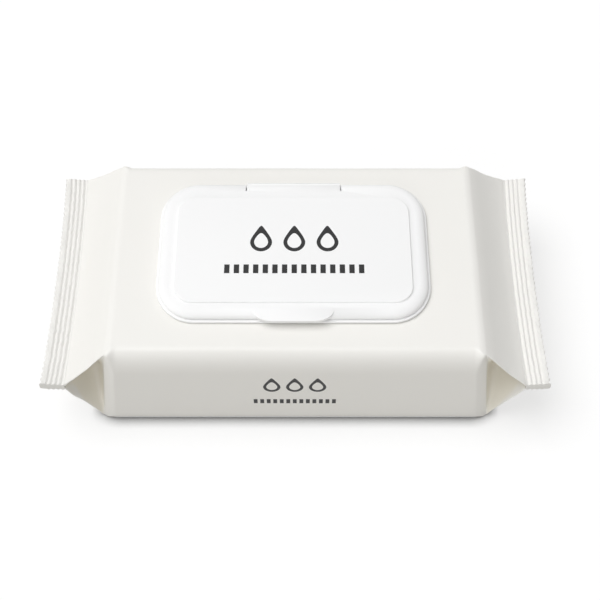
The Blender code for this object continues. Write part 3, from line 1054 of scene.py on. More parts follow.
    def stations(self) -> list[float]:
        """Stations of one half of the film, from near the middle to the seal.

        Returns:
            Their distances from the middle.
        """
        first = self.tuck_start - max(self.corner_run, self.edge_run)
        count = self.middle_stations // 2
        result = [first * (step + 0.5) / count for step in range(count - 1)]
        run = self.tuck_start - self.wall - first
        count = self.corner_stations
        result += [first + run * step / count for step in range(count + 1)]
        run = self.seal_start - self.seal_approach - self.tuck_start
        for step in range(self.tuck_stations + 1):
            share = (step / self.tuck_stations) ** self.tuck_spacing
            result.append(self.tuck_start + run * share)
        return result

    def end_ring(self, x: float, count: int) -> list[Point3]:
        """A flat ring inside the end seal, where the film runs into it.

        Args:
            x: Its station.
            count: How many points it has.

        Returns:
            The ring, in the order of a section.
        """
        depth = self.seal_depth / 2 - self.fold_edge
        thin = self.fold_edge * self.ring_thickness
        ring = []
        for index in range(count):
            angle = math.pi / 2 - 2 * math.pi * index / count
            wide = clamp(self.ring_squareness * math.cos(angle), -1.0, 1.0)
            tall = clamp(self.ring_squareness * math.sin(angle), -1.0, 1.0)
            drawn_in = math.copysign(self.seal_bow * (1 - wide**2), x)
            ring.append((x - drawn_in, depth * wide, self.seal_height + thin * tall))
        return ring

    def shell(self, name: str, inset: float) -> bpy.types.Mesh:
        """The closed surface of the film's outside, or of its inside.

        Args:
            name: The mesh's name.
            inset: 0 for the outside, the wall for the inside.

        Returns:
            The mesh with its faces pointing away from the wipes.
        """
        half = self.stations()
        rings = [self.section(x, inset) for x in half]
        if not inset:
            rings.append(self.end_ring(self.seal_start + self.seal_overlap, len(rings[0])))
        other = [self.section(-x, inset) for x in reversed(half)]
        if not inset:
            other.insert(0, self.end_ring(-self.seal_start - self.seal_overlap, len(rings[0])))
        return loft(name, other + rings)

    def build(self, opening: list[Point2]) -> bpy.types.Object:
        """Build the film.

        Args:
            opening: The outline of the hole under the lid.

        Returns:
            The film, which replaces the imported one.
        """
        inside = self.shell("film_inside", self.wall)
        inside.flip_normals()
        film = new_object("film", self.shell("film", 0.0))
        add_shell(film, inside)
        below, above = self.opening_cut
        hole = prism("film_hole", opening, self.height - below, self.height + above)
        combine(film, hole, "DIFFERENCE")
        wide, deep = self.fin_groove
        for side in Side:
            middle = side.value * self.fin_width / 2
            low = (-self.fin_length / 2, middle - wide / 2, -deep)
            high = (self.fin_length / 2, middle + wide / 2, deep)
            combine(film, box_mesh("film_fin_groove", low, high), "DIFFERENCE")
        dress(film, self.finish, 40)
        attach(film, Body.PACK.value)
        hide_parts("film_wrapper")
        LOG.info("film: %d faces", len(film.data.polygons))
        return film


@dataclass
class EndSeal:
    """A crimped end seal with a zigzag edge, grown by Geometry Nodes from a grid."""

    finish: bpy.types.Material
    side: Side
    film: FilmPack
    crimps: int = 4
    pitch: float = 0.00195
    crimp_height: float = 0.0006
    crimp_wiggle: float = 0.0007
    lift: float = 0.0008
    wiggle_scale: float = 14.0
    tooth_pitch: float = 0.0027
    tooth_depth: float = 0.0009
    outer_power: float = 24.0
    outer_flare: float = 0.25
    outer_thinning: float = 0.3
    end_power: float = 60.0
    end_round: float = 0.0002
    drift: float = 0.0014
    drift_scale: Point2 = (0.6, 5.0)
    steps_along: int = 84
    steps_across: int = 320
    steps_through: int = 5

    def build(self) -> bpy.types.Object:
        """Build the seal.

        Returns:
            The seal, riding on the pack.
        """
        _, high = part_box("film_wrapper")
        tree = Geometry(f"end_seal_{self.side.name.lower()}")
        start = tree.size("Start", self.film.seal_start)
        width = tree.size("Width", high.x - self.film.seal_start)
        depth = tree.size("Depth", self.film.seal_depth)
        half_thickness = tree.size("Half thickness", self.film.fold_edge)
        pitch = tree.size("Crimp pitch", self.pitch)
        crimps = tree.size("Crimps", self.crimps)
        crimp_height = tree.size("Crimp height", self.crimp_height)
        tooth_pitch = tree.size("Tooth pitch", self.tooth_pitch)
        tooth_depth = tree.size("Tooth depth", self.tooth_depth)
        lift = tree.size("Lift", self.lift)
        wiggle = tree.size("Crimp wiggle", self.crimp_wiggle)
        side = tree.size("Side", float(self.side.value))
        block = tree.add(
            "GeometryNodeMeshCube",
            None,
            Size=(1.0, 1.0, 2.0),
            Vertices_X=self.steps_along,
            Vertices_Y=self.steps_across,
            Vertices_Z=self.steps_through,
        )
        x, y, z = tree.place()
        share = x + 0.5
        along = share * width
        shaken = self.noise(tree, tree.vector(0.0, y * self.wiggle_scale, side), 1.0)
        shifted = along + (shaken - 0.5) * wiggle
        turned = tree.math("MINIMUM", shifted, pitch * crimps) / pitch * (2 * math.pi)
        wave = (tree.math("COSINE", turned) - 1.0) * 0.5
        across = y * depth
        zigzag = tree.math("PINGPONG", across, tooth_pitch * 0.5) / (tooth_pitch * 0.5)
        outer = tree.math("POWER", share, self.outer_power)
        rounded = tree.math("POWER", tree.math("ABSOLUTE", z), 4.0)
        over = tree.math("ABSOLUTE", y * 2.0)
        end_share = tree.math("POWER", over, self.end_power)
        drawn_in = rounded * end_share * self.end_round
        flared = 1.0 + tree.math("POWER", over, 8.0) * (self.film.flare + share * self.outer_flare)
        thinned = half_thickness * (1.0 - outer * self.outer_thinning) * flared
        bowed_in = (1.0 - over * over) * self.film.seal_bow
        new_x = (start + along - zigzag * tooth_depth * outer - bowed_in) * side
        new_y = across - drawn_in * tree.math("SIGN", y)
        along_scale, across_scale = self.drift_scale
        uneven = tree.vector(share * along_scale, y * across_scale, side)
        drift = (self.noise(tree, uneven, 2.0) - 0.5) * self.drift * share
        new_z = z * thinned + wave * crimp_height + lift * share + drift + self.film.seal_height
        shaped = tree.moved(tree.out(block, "Mesh"), tree.vector(new_x, new_y, new_z))
        if self.side is Side.LEFT:
            shaped = tree.out(tree.add("GeometryNodeFlipFaces", None, Mesh=shaped))
        seal = tree.finished(shaped, self.finish)
        dress(seal, self.finish, 60)
        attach(seal, Body.PACK.value)
        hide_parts("film_wrapper")
        LOG.info("%s: %d faces", seal.name, len(seal.data.polygons))
        return seal

    def noise(self, tree: Geometry, place: Wire, detail: float) -> Wire:
        """Smooth noise of 0 to 1 at a place of the seal."""
        inputs = {"Vector": place, "Scale": 3.0, "Detail": detail}
        return tree.out(tree.add("ShaderNodeTexNoise", None, **inputs), "Fac")


# Wipes


@dataclass
class WipesStack:
    """The folded wipes: layered sides and a soft top with the leading fold in the opening."""

    finish: bpy.types.Material
    film: FilmPack
    layers: int = 40
    layer_depth: float = 0.0004
    inset: float = 0.0007
    foot_inset: float = 0.0015
    end_gap: float = 0.0007
    top_cells_x: int = 150
    top_cells_y: int = 100
    fold_place: float = 0.002
    fold_height: float = 0.0017
    fold_width: float = 0.006
    fold_bend: Point2 = (0.0016, 55.0)
    fold_wander: Point2 = (0.001, 40.0)
    flap_height: float = 0.0010
    crumple: Point3 = (0.00025, 90.0, 140.0)
    open_centre: Point2 = (-0.0008, 0.00115)
    open_reach: Point2 = (0.033, 0.0165)
    open_fade: Point2 = (0.012, 0.008)
    top_room: float = 0.00035

    def surface(self, x: float, y: float, top: float) -> float:
        """Height of the top wipe at a place, with its soft folds.

        Args:
            x: The place along the pack.
            y: The place across it.
            top: Height of the stack's top there.

        Returns:
            The height of the cloth.
        """
        (bend, turns), (wander, scale) = self.fold_bend, self.fold_wander
        shift = bend * math.sin(x * turns) + wander * noise.noise(Vector((x * scale, 0.0, 2.0)))
        across = (y - self.fold_place - shift) / self.fold_width
        fold = self.fold_height * math.exp(-(across * across) * 4.0)
        over = smooth((across + 0.1) / 0.25) * self.flap_height
        depth, scale_x, scale_y = self.crumple
        crumple = depth * noise.noise(Vector((x * scale_x, y * scale_y, 5.0)))
        inside = 1.0
        for value, centre, reach, fade in zip(
            (x, y), self.open_centre, self.open_reach, self.open_fade
        ):
            inside *= smooth((reach - abs(value - centre)) / fade)
        return top - self.top_room + inside * (fold + over) + crumple

    def build(self) -> bpy.types.Object:
        """Build the stack.

        Returns:
            The stack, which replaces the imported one.
        """
        low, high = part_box("wipes_stack")
        end = self.film.tuck_start - self.end_gap
        rings = []
        for step in range(self.top_cells_x + 1):
            x = end * (2 * step / self.top_cells_x - 1)
            top = min(high.z, self.film.top(x) - self.inset)
            bottom = max(low.z, self.film.bottom(x) + self.inset)
            rings.append(self.film.placed(x, self.ring(x, bottom, top)))
        stack = new_object("wipes", loft("wipes", rings))
        dress(stack, self.finish, 50)
        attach(stack, Body.PACK.value)
        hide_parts("wipes_stack")
        LOG.info("wipes: %d faces", len(stack.data.polygons))
        return stack

    def ring(self, x: float, bottom: float, top: float) -> list[Point2]:
        """The stack's outline at a station.

        Args:
            x: The station.
            bottom: Height of the stack's foot there.
            top: Height of its top.

        Returns:
            A closed outline in Y and Z.
        """
        run = self.film.top_edge_run - self.inset
        drop = self.film.top_edge_drop - self.inset
        edge = self.film.half_depth(x, top) - self.inset - run
        flat = []
        for step in range(self.top_cells_y + 1):
            y = edge * (2 * step / self.top_cells_y - 1)
            flat.append((y, self.surface(x, y, top)))
        side = []
        for level in range(1, 4 * self.layers):
            z = top - (top - bottom) * level / (4 * self.layers)
            share = clamp(1 - (top - z) / drop, 0.0, 1.0)
            drawn_in = self.inset + run * (1 - math.sqrt(1 - share**2))
            groove = self.layer_depth * (0.5 + 0.5 * math.cos(math.pi * level / 2)) ** 2
            side.append((self.film.half_depth(x, z) - drawn_in - groove, z))
        depth = self.film.half_depth(x, bottom) - self.inset - self.foot_inset
        front = [(-y, z) for y, z in reversed(side)]
        return flat + side + [(depth, bottom), (-depth, bottom)] + front


# Lid


@dataclass
class LidShape:
    """The outlines that the lid and its frame share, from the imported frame's box."""

    corner_x: float = 0.0165
    corner_y: float = 0.0185
    steps: int = 22
    opening_length: float = 0.068
    opening_depth: float = 0.036
    opening_radius: float = 0.016
    panel_side: float = 0.0077
    panel_front: float = 0.0072
    panel_back: float = 0.0098
    panel_corner: float = 0.008
    margin: float = 0.001
    hinge_overhang: float = 0.0001
    thickness: float = 0.001
    centre_x: float = field(init=False)
    centre_y: float = field(init=False)
    length: float = field(init=False)
    front: float = field(init=False)
    back: float = field(init=False)
    bottom: float = field(init=False)
    top: float = field(init=False)

    def __post_init__(self) -> None:
        """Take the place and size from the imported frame."""
        low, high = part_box("lid_frame")
        self.centre_x = (low.x + high.x) / 2
        self.length = high.x - low.x
        self.front = low.y
        self.back = high.y - self.hinge_overhang
        self.centre_y = (self.front + self.back) / 2
        self.bottom = low.z
        self.top = low.z + self.thickness

    def rounded(self, low: Point2, high: Point2, corner_x: float, corner_y: float) -> list[Point2]:
        """A rectangle with elliptic corners, counter-clockwise.

        Args:
            low: Its left front corner.
            high: Its right back corner.
            corner_x: The corners' reach along X.
            corner_y: The corners' reach along Y.

        Returns:
            The outline's points.
        """
        points = []
        for quarter, (sign_x, sign_y) in enumerate(((1, -1), (1, 1), (-1, 1), (-1, -1))):
            middle_x = (high[0] - corner_x) if sign_x > 0 else (low[0] + corner_x)
            middle_y = (high[1] - corner_y) if sign_y > 0 else (low[1] + corner_y)
            for step in range(self.steps + 1):
                angle = RIGHT_ANGLE * (quarter - 1 + step / self.steps)
                x = middle_x + corner_x * math.cos(angle)
                points.append((x, middle_y + corner_y * math.sin(angle)))
        return points

    def frame(self, inset: float) -> list[Point2]:
        """The frame's outline.

        Args:
            inset: How far it is drawn in.

        Returns:
            The outline's points.
        """
        half = self.length / 2 - inset
        return self.rounded(
            (self.centre_x - half, self.front + inset),
            (self.centre_x + half, self.back - inset),
            self.corner_x - inset,
            self.corner_y - inset,
        )

    def opening(self, outset: float) -> list[Point2]:
        """The outline of the dispensing opening.

        Args:
            outset: How far it is let out.

        Returns:
            The outline's points.
        """
        half_x = self.opening_length / 2 + outset
        half_y = self.opening_depth / 2 + outset
        radius = self.opening_radius + outset
        return self.rounded(
            (self.centre_x - half_x, self.centre_y - half_y),
            (self.centre_x + half_x, self.centre_y + half_y),
            radius,
            radius,
        )

    def panel(self, outset: float) -> list[Point2]:
        """The outline of the lid's raised panel.

        Args:
            outset: How far it is let out.

        Returns:
            The outline's points.
        """
        half = self.length / 2 - self.panel_side + outset
        corner = self.panel_corner + outset
        return self.rounded(
            (self.centre_x - half, self.front + self.panel_front - outset),
            (self.centre_x + half, self.back - self.panel_back + outset),
            corner,
            corner,
        )


@dataclass
class LidFrame:
    """The flat frame on the film: collar, front catch and hinge roll."""

    finish: bpy.types.Material
    shape: LidShape
    collar_wall: float = 0.0012
    collar_height: float = 0.0024
    edge_round: float = 0.00035
    collar_round: float = 0.0004
    catch_length: float = 0.024
    catch_wall: float = 0.001
    catch_height: float = 0.0016
    catch_inset: float = 0.0066
    hinge_length: float = 0.041
    hinge_radius: float = 0.0009
    roll_radius: float = 0.0006
    roll_gap: float = 0.0001
    slit_width: float = 0.00045
    clearance: float = 0.0003
    round_steps: int = 4
    roll_steps: int = 24

    def hinge_line(self) -> Point3:
        """Where the hinge's roll lies.

        Returns:
            Half its length, and the Y and Z of its middle.
        """
        half = self.hinge_length / 2 - self.slit_width / 2 - self.roll_gap
        middle_y = self.shape.back + self.shape.hinge_overhang - self.hinge_radius
        return half, middle_y, self.shape.top + self.hinge_radius

    def collar(self, inset: float) -> list[Point2]:
        """The collar's outer outline, drawn in by inset."""
        return self.shape.opening(self.collar_wall - inset)

    def quarter(
        self, outline: Callable[[float], list[Point2]], z: float, radius: float, falling: bool
    ) -> list[list[Point3]]:
        """Rings round an outer edge from the side to the top, or from the top to the side.

        Args:
            outline: A function from inset to outline.
            z: The height of the flat top.
            radius: The edge's radius.
            falling: Go from the top to the side instead.

        Returns:
            The rings in order.
        """
        rings = []
        for step in range(self.round_steps + 1):
            angle = RIGHT_ANGLE * step / self.round_steps
            drawn = radius * (1 - math.cos(angle))
            rings.append(at_height(outline(drawn), z - radius + radius * math.sin(angle)))
        return list(reversed(rings)) if falling else rings

    def build(self) -> bpy.types.Object:
        """Build the frame.

        Returns:
            The frame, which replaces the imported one.
        """
        shape = self.shape
        collar_top = shape.top + self.collar_height
        rings = [at_height(shape.frame(0.0), shape.bottom)]
        rings += self.quarter(shape.frame, shape.top, self.edge_round, False)
        rings.append(at_height(shape.opening(self.collar_wall), shape.top))
        rings += self.quarter(self.collar, collar_top, self.collar_round, False)
        rings += self.quarter(shape.opening, collar_top, self.collar_round, True)
        rings.append(at_height(shape.opening(0.0), shape.bottom))
        body = new_object("frame", loft("frame", rings, closed=True))
        catch_y = shape.front + self.catch_inset
        half = self.catch_length / 2
        catch = box_mesh(
            "frame_catch",
            (shape.centre_x - half, catch_y, shape.top - self.clearance),
            (shape.centre_x + half, catch_y + self.catch_wall, shape.top + self.catch_height),
        )
        combine(body, catch, "UNION")
        combine(body, self.roll(), "UNION")
        soften(body, MOULDED_SOFTNESS, 2, 50)
        dress(body, self.finish, 35)
        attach(body, Body.PACK.value)
        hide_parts("lid_frame")
        LOG.info("frame: %d faces", len(body.data.polygons))
        return body

    def roll(self) -> bpy.types.Mesh:
        """The hinge roll with a foot sunk into the frame's back edge.

        Returns:
            The closed mesh.
        """
        shape = self.shape
        half, middle_y, middle_z = self.hinge_line()
        foot = shape.top - shape.thickness / 2
        foot_back = shape.back - self.edge_round
        rings = []
        for x in (shape.centre_x - half, shape.centre_x + half):
            ring = []
            for step in range(self.roll_steps + 1):
                angle = math.pi * step / self.roll_steps
                y = middle_y + self.roll_radius * math.cos(angle)
                ring.append((x, y, middle_z + self.roll_radius * math.sin(angle)))
            ring.append((x, middle_y - self.roll_radius, foot))
            ring.append((x, foot_back, foot))
            ring.append((x, foot_back, shape.top))
            rings.append(ring)
        return loft("frame_roll", rings)


@dataclass
class FlipLid:
    """The lid: stepped panel, rounded rim, thumb tab, sealing ring, snap rib and hinge slits."""

    finish: bpy.types.Material
    shape: LidShape
    frame: LidFrame
    wall: float = 0.001
    ledge_height: float = 0.0031
    rim_run: float = 0.0042
    rim_rise: float = 0.0024
    panel_step: float = 0.0008
    panel_round: float = 0.0004
    ring_clearance: float = 0.0005
    ring_wall: float = 0.001
    tab_length: float = 0.0333
    tab_reach: float = 0.0015
    tab_thickness: float = 0.0012
    tab_corner_x: float = 0.0085
    tab_corner_y: float = 0.0058
    tab_inset: float = 0.005
    slit_length: float = 0.0058
    edge: float = 0.0002
    rim_steps: int = 14
    panel_steps: int = 5
    tab_steps: int = 16

    def rim(self, inset: float, low: float, high: float) -> list[list[Point3]]:
        """Rings up the rounded rim from its edge to the ledge.

        Args:
            inset: 0 for the outside, the wall for the inside.
            low: The height at which the rounding begins.
            high: The height at which it ends.

        Returns:
            The rings in order.
        """
        rings = []
        for step in range(self.rim_steps + 1):
            angle = RIGHT_ANGLE * step / self.rim_steps
            drawn = self.shape.margin + inset + self.rim_run * (1 - math.cos(angle))
            rings.append(at_height(self.shape.frame(drawn), low + (high - low) * math.sin(angle)))
        return rings

    def rings(self) -> list[list[Point3]]:
        """All rings of the lid's shell, from the middle of its top round to its underside.

        Returns:
            The rings in order.
        """
        shape = self.shape
        ledge = shape.top + self.ledge_height
        panel = ledge + self.panel_step
        underside = panel - self.wall
        rim_bottom = shape.top + self.frame.clearance
        ring_inner = self.frame.collar_wall + self.ring_clearance
        ring_outer = ring_inner + self.ring_wall
        ring_bottom = shape.top + self.ring_clearance
        edge = self.edge
        path = []
        for step in range(self.panel_steps + 1):
            angle = RIGHT_ANGLE * step / self.panel_steps
            outset = -self.panel_round * (1 - math.sin(angle))
            path.append((shape.panel(outset), panel - self.panel_round * (1 - math.cos(angle))))
        path += [
            (shape.panel(0.0), ledge + edge),
            (shape.panel(edge * 0.3), ledge + edge * 0.3),
            (shape.panel(edge), ledge),
        ]
        rings = [at_height(outline, z) for outline, z in path]
        rings += reversed(self.rim(0.0, ledge - self.rim_rise, ledge))
        path = [
            (shape.frame(shape.margin), rim_bottom + edge),
            (shape.frame(shape.margin + edge), rim_bottom),
            (shape.frame(shape.margin + self.wall - edge), rim_bottom),
            (shape.frame(shape.margin + self.wall), rim_bottom + edge),
        ]
        rings += [at_height(outline, z) for outline, z in path]
        rings += self.rim(self.wall, ledge - self.rim_rise, ledge - self.wall)
        path = [
            (shape.panel(-self.wall), ledge - self.wall),
            (shape.panel(-self.wall), underside),
            (shape.opening(ring_outer), underside),
            (shape.opening(ring_outer), ring_bottom + edge),
            (shape.opening(ring_outer - edge), ring_bottom),
            (shape.opening(ring_inner + edge), ring_bottom),
            (shape.opening(ring_inner), ring_bottom + edge),
            (shape.opening(ring_inner), underside),
        ]
        return rings + [at_height(outline, z) for outline, z in path]

    def tab(self) -> bpy.types.Mesh:
        """The thumb tab, level with the ledge, with rounded front corners.

        Returns:
            The closed mesh.
        """
        shape = self.shape
        half = self.tab_length / 2
        back = shape.front + self.tab_inset
        outline = [(shape.centre_x + half, back), (shape.centre_x - half, back)]
        for side, first in ((-1, 180), (1, 270)):
            middle_x = shape.centre_x + side * (half - self.tab_corner_x)
            middle_y = shape.front - self.tab_reach + self.tab_corner_y
            for step in range(self.tab_steps + 1):
                angle = math.radians(first + 90 * step / self.tab_steps)
                x = middle_x + self.tab_corner_x * math.cos(angle)
                outline.append((x, middle_y + self.tab_corner_y * math.sin(angle)))
        ledge = shape.top + self.ledge_height
        return prism("lid_tab", outline, ledge - self.tab_thickness, ledge)

    def build(self) -> bpy.types.Object:
        """Build the lid.

        Returns:
            The lid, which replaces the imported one.
        """
        shape = self.shape
        ledge = shape.top + self.ledge_height
        lid = new_object("lid", loft("lid", self.rings()))
        combine(lid, self.tab(), "UNION")
        catch_front = shape.front + self.frame.catch_inset
        rib_front = catch_front - self.ring_clearance - self.frame.catch_wall
        half = self.frame.catch_length / 2
        rib = box_mesh(
            "lid_rib",
            (shape.centre_x - half, rib_front, shape.top + self.ring_clearance),
            (shape.centre_x + half, rib_front + self.frame.catch_wall, ledge - self.wall / 2),
        )
        combine(lid, rib, "UNION")
        half = self.frame.hinge_length / 2
        roll_front = shape.back + shape.hinge_overhang - 2 * self.frame.hinge_radius
        front = roll_front - self.frame.clearance
        top = ledge + self.panel_step
        room = box_mesh(
            "lid_room",
            (shape.centre_x - half, front, shape.top),
            (shape.centre_x + half, shape.back + shape.margin, top),
        )
        combine(lid, room, "DIFFERENCE")
        for side in Side:
            middle = shape.centre_x + side.value * half
            slit = box_mesh(
                "lid_slit",
                (middle - self.frame.slit_width / 2, shape.back - self.slit_length, shape.top),
                (middle + self.frame.slit_width / 2, shape.back + shape.margin, top),
            )
            combine(lid, slit, "DIFFERENCE")
        soften(lid, MOULDED_SOFTNESS, 2, 50)
        dress(lid, self.finish, 35)
        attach(lid, Body.LID.value)
        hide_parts("flip_lid")
        LOG.info("lid: %d faces", len(lid.data.polygons))
        return lid


# Print


@dataclass
class PrintRow:
    """A row of plain printed marks, grown by Geometry Nodes: drops over a line of dashes."""

    name: str
    ink: bpy.types.Material
    centre: Point3
    upright: bool
    drops: int
    drop_size: float
    drop_pitch: float
    dash_row_drop: float
    dashes: int
    dash_length: float
    dash_height: float
    dash_pitch: float
    thickness: float = 0.00004
    stroke: float = 0.36
    drop_steps: int = 48
    drop_shares: Point2 = (0.36, 0.38)
    drop_middle: float = 0.35
    point_narrowing: float = 0.55
    point_height: float = 0.75
    body: Body = Body.LID
    film: FilmPack | None = None

    def build(self) -> bpy.types.Object:
        """Build the print.

        Returns:
            The marks as one thin mesh.
        """
        tree = Geometry(self.name)
        size = tree.size("Drop size", self.drop_size)
        pitch = tree.size("Drop pitch", self.drop_pitch)
        dash_pitch = tree.size("Dash pitch", self.dash_pitch)
        row_drop = tree.size("Row drop", self.dash_row_drop)
        drops = tree.size("Drops", self.drops)
        dashes = tree.size("Dashes", self.dashes)
        drop = self.drop(tree, size)
        dash = tree.add(
            "GeometryNodeMeshGrid", None, Size_X=self.dash_length, Size_Y=self.dash_height
        )
        first = self.row(tree, drop, drops, pitch, 0.0)
        second = self.row(tree, tree.out(dash, "Mesh"), dashes, dash_pitch, -row_drop)
        joined = tree.add("GeometryNodeJoinGeometry")
        tree.tree.links.new(first.socket, joined.inputs[0])
        tree.tree.links.new(second.socket, joined.inputs[0])
        real = tree.out(tree.add("GeometryNodeRealizeInstances", None, Geometry=tree.out(joined)))
        inputs = {
            "Geometry": real,
            "Translation": self.centre,
            "Rotation": (RIGHT_ANGLE if self.upright else 0.0, 0.0, 0.0),
        }
        placed = tree.add("GeometryNodeTransform", None, **inputs)
        marks = tree.finished(tree.out(placed), self.ink)
        solid = marks.modifiers.new("Ink", "SOLIDIFY")
        solid.thickness = self.thickness
        solid.offset = 1.0
        settle(marks)
        if self.film:
            for vertex in marks.data.vertices:
                vertex.co.y += self.film.front(vertex.co.x, vertex.co.z)
        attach(marks, self.body.value)
        LOG.info("%s: %d faces", self.name, len(marks.data.polygons))
        return marks

    def row(self, tree: Geometry, item: Wire, count: Wire, pitch: Wire, y: "Wire | float") -> Wire:
        """Copies of an item along X, centred.

        Args:
            tree: The print's tree.
            item: The geometry that is repeated.
            count: How many there are.
            pitch: The distance between them.
            y: The row's place across it.

        Returns:
            The copies, as instances.
        """
        index = tree.out(tree.add("GeometryNodeInputIndex"))
        line = tree.add("GeometryNodeMeshLine", {"mode": "OFFSET"}, Count=count)
        x = (index - (count - 1.0) * 0.5) * pitch
        points = tree.moved(tree.out(line, "Mesh"), tree.vector(x, y, 0.0))
        placed = tree.add("GeometryNodeInstanceOnPoints", None, Points=points, Instance=item)
        return tree.out(placed, "Instances")

    def drop(self, tree: Geometry, size: Wire) -> Wire:
        """An outlined drop: a ring whose top is drawn out to a point.

        Args:
            tree: The print's tree.
            size: The drop's height.

        Returns:
            The flat drop.
        """
        inputs = {"Size_X": 1.0, "Size_Y": 1.0, "Vertices_X": self.drop_steps + 1, "Vertices_Y": 2}
        strip = tree.add("GeometryNodeMeshGrid", None, **inputs)
        along, across, _ = tree.place()
        turn = along * (-2 * math.pi)
        reach = 1.0 - (0.5 - across) * self.stroke
        x = tree.math("SINE", turn) * reach
        y = tree.math("COSINE", turn) * reach
        up = tree.math("MAXIMUM", y, 0.0)
        narrow = 1.0 - up * up * self.point_narrowing
        tall = y + up * up * self.point_height
        wide_share, tall_share = self.drop_shares
        new_y = (tall - self.drop_middle) * size * tall_share
        shaped = tree.vector(x * narrow * size * wide_share, new_y, 0.0)
        ring = tree.moved(tree.out(strip, "Mesh"), shaped)
        merged = tree.add("GeometryNodeMergeByDistance", None, Geometry=ring, Distance=0.00001)
        return tree.out(merged)


# Hinge web


@dataclass
class HingeWeb:
    """The thin web of the hinge, which wraps the roll."""

    finish: bpy.types.Material
    shape: LidShape
    frame: LidFrame
    thickness: float = 0.00022
    roll_room: float = 0.00003
    start_angle: float = -25.0
    end_angle: float = 138.0
    end_radius: float = 0.00158
    lift_off: Point2 = (0.55, 0.45)
    blend_reach: Point2 = (0.5, 1.2)
    steps: int = 30
    cells: int = 24

    def build(self) -> bpy.types.Object:
        """Build the web.

        Returns:
            The web, with its place baked into its mesh.
        """
        half, middle_y, middle_z = self.frame.hinge_line()
        near = self.frame.roll_radius + self.roll_room
        turn = self.end_angle - self.start_angle
        outline = []
        for outer in (False, True):
            order = range(self.steps + 1)
            for step in reversed(order) if outer else order:
                share = step / self.steps
                angle = math.radians(self.start_angle + turn * share)
                lifted = smooth((share - self.lift_off[0]) / self.lift_off[1])
                radius = near + (self.end_radius - near) * lifted
                radius += self.thickness if outer else 0.0
                y = middle_y + radius * math.cos(angle)
                outline.append((y, middle_z + radius * math.sin(angle)))
        rings = []
        for cell in range(self.cells + 1):
            x = self.shape.centre_x - half + 2 * half * cell / self.cells
            rings.append([(x, y, z) for y, z in outline])
        web = new_object("hinge_web", loft("hinge_web", rings))
        dress(web, self.finish, 40)
        behind, ahead = self.blend_reach
        start = (0.0, middle_y + self.frame.hinge_radius * behind, middle_z)
        end = (0.0, middle_y - self.frame.hinge_radius * ahead, middle_z)
        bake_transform(web)
        LOG.info("hinge_web: %d faces", len(web.data.polygons))
        return web


# Studio


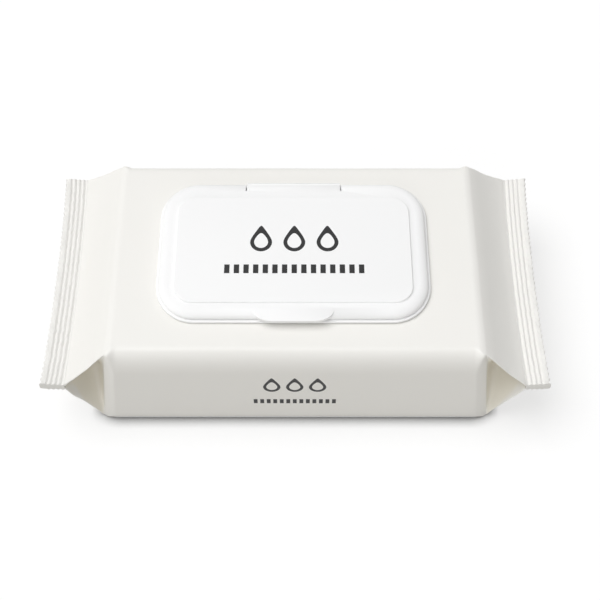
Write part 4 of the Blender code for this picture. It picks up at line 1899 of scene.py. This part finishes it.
@dataclass
class Studio:
    """The floor, the soft light and the camera."""

    camera_place: Point3 = (0.0020, -0.3106, 0.4826)
    pitch_down: float = 56.5
    focal_pixels: float = 1261.0
    image_pixels: float = 600.0
    sensor: float = 36.0
    key: Point3 = (-0.219, 0.04, 0.511)
    key_softness: float = 50.0
    fill: Point3 = (-0.062, -0.176, 0.033)
    fill_softness: float = 60.0
    sky: float = 0.435
    floor_size: float = 6.0

    def build(self) -> None:
        """Build the stage and set the plain view transform."""
        self.camera()
        self.light("key", self.key, self.key_softness)
        self.light("fill", self.fill, self.fill_softness)
        self.world()
        self.floor()
        bpy.context.scene.view_settings.view_transform = "Standard"

    def camera(self) -> None:
        """The camera at the photograph's angle."""
        data = bpy.data.cameras.new("camera")
        data.sensor_width = self.sensor
        data.lens = self.focal_pixels * self.sensor / self.image_pixels
        obj = bpy.data.objects.new("camera", data)
        obj.location = self.camera_place
        obj.rotation_euler = (math.radians(90 - self.pitch_down), 0.0, 0.0)
        bpy.context.scene.collection.objects.link(obj)
        bpy.context.scene.camera = obj

    def light(self, name: str, toward: Point3, softness: float) -> None:
        """A broad soft light.

        Args:
            name: Its name.
            toward: The way to it, as long as the light it gives to a face turned to it.
            softness: Its angle in degrees.
        """
        data = bpy.data.lights.new(name, "SUN")
        way = Vector(toward)
        data.energy = way.length * math.pi
        data.angle = math.radians(softness)
        obj = bpy.data.objects.new(name, data)
        obj.rotation_euler = way.to_track_quat("Z", "Y").to_euler()
        bpy.context.scene.collection.objects.link(obj)

    def world(self) -> None:
        """An even pale sky that the camera sees as white."""
        world = bpy.data.worlds.new("studio")
        bpy.context.scene.world = world
        world.use_nodes = True
        tree = Tree(world.node_tree)
        path = tree.add("ShaderNodeLightPath")
        rays = [tree.out(path, name) for name in ("Is Camera Ray", "Is Transmission Ray")]
        seen = tree.math("MAXIMUM", *rays)
        background = world.node_tree.nodes["Background"]
        background.inputs["Color"].default_value = (1.0, 1.0, 1.0, 1.0)
        tree.feed(background.inputs["Strength"], self.sky + seen * (1.0 - self.sky))

    def floor(self) -> None:
        """A wide plain floor."""
        half = self.floor_size / 2
        mesh = bpy.data.meshes.new("floor")
        corners = [(-half, -half, 0.0), (half, -half, 0.0), (half, half, 0.0), (-half, half, 0.0)]
        mesh.from_pydata(corners, [], [(0, 1, 2, 3)])
        mesh.materials.append(FloorFinish().build())
        new_object("floor", mesh)


def main() -> None:
    """Build every piece in order and report each one."""
    logging.basicConfig(level=logging.INFO, format="%(name)s: %(message)s")
    Studio().build()
    film_finish = FilmFinish().build()
    plastic = PlasticFinish().build()
    ink = InkFinish().build()
    shape = LidShape()
    film = FilmPack(film_finish)
    film.build(shape.opening(-film.opening_ledge))
    crimped = FilmFinish("crimped_film", (0.868, 0.859, 0.832), (0.854, 0.844, 0.814))
    crimped_finish = crimped.build()
    for side in Side:
        EndSeal(crimped_finish, side, film).build()
    WipesStack(NonwovenFinish().build(), film).build()
    lid_frame = LidFrame(plastic, shape)
    lid_frame.build()
    lid = FlipLid(plastic, shape, lid_frame)
    lid.build()
    HingeWeb(plastic, shape, lid_frame).build()
    panel_top = shape.top + lid.ledge_height + lid.panel_step
    PrintRow(
        name="lid_print",
        ink=ink,
        centre=(-0.0004, 0.0047, panel_top + INK_LIFT),
        upright=False,
        drops=3,
        drop_size=0.0128,
        drop_pitch=0.0140,
        dash_row_drop=0.0155,
        dashes=15,
        dash_length=0.0022,
        dash_height=0.0044,
        dash_pitch=0.0040,
    ).build()
    PrintRow(
        name="front_print",
        ink=ink,
        centre=(-0.0002, -INK_LIFT, 0.0282),
        upright=True,
        drops=3,
        drop_size=0.0100,
        drop_pitch=0.0095,
        dash_row_drop=0.0127,
        dashes=13,
        dash_length=0.0016,
        dash_height=0.0032,
        dash_pitch=0.00275,
        body=Body.PACK,
        film=film,
    ).build()


if __name__ == "__main__":
    main()
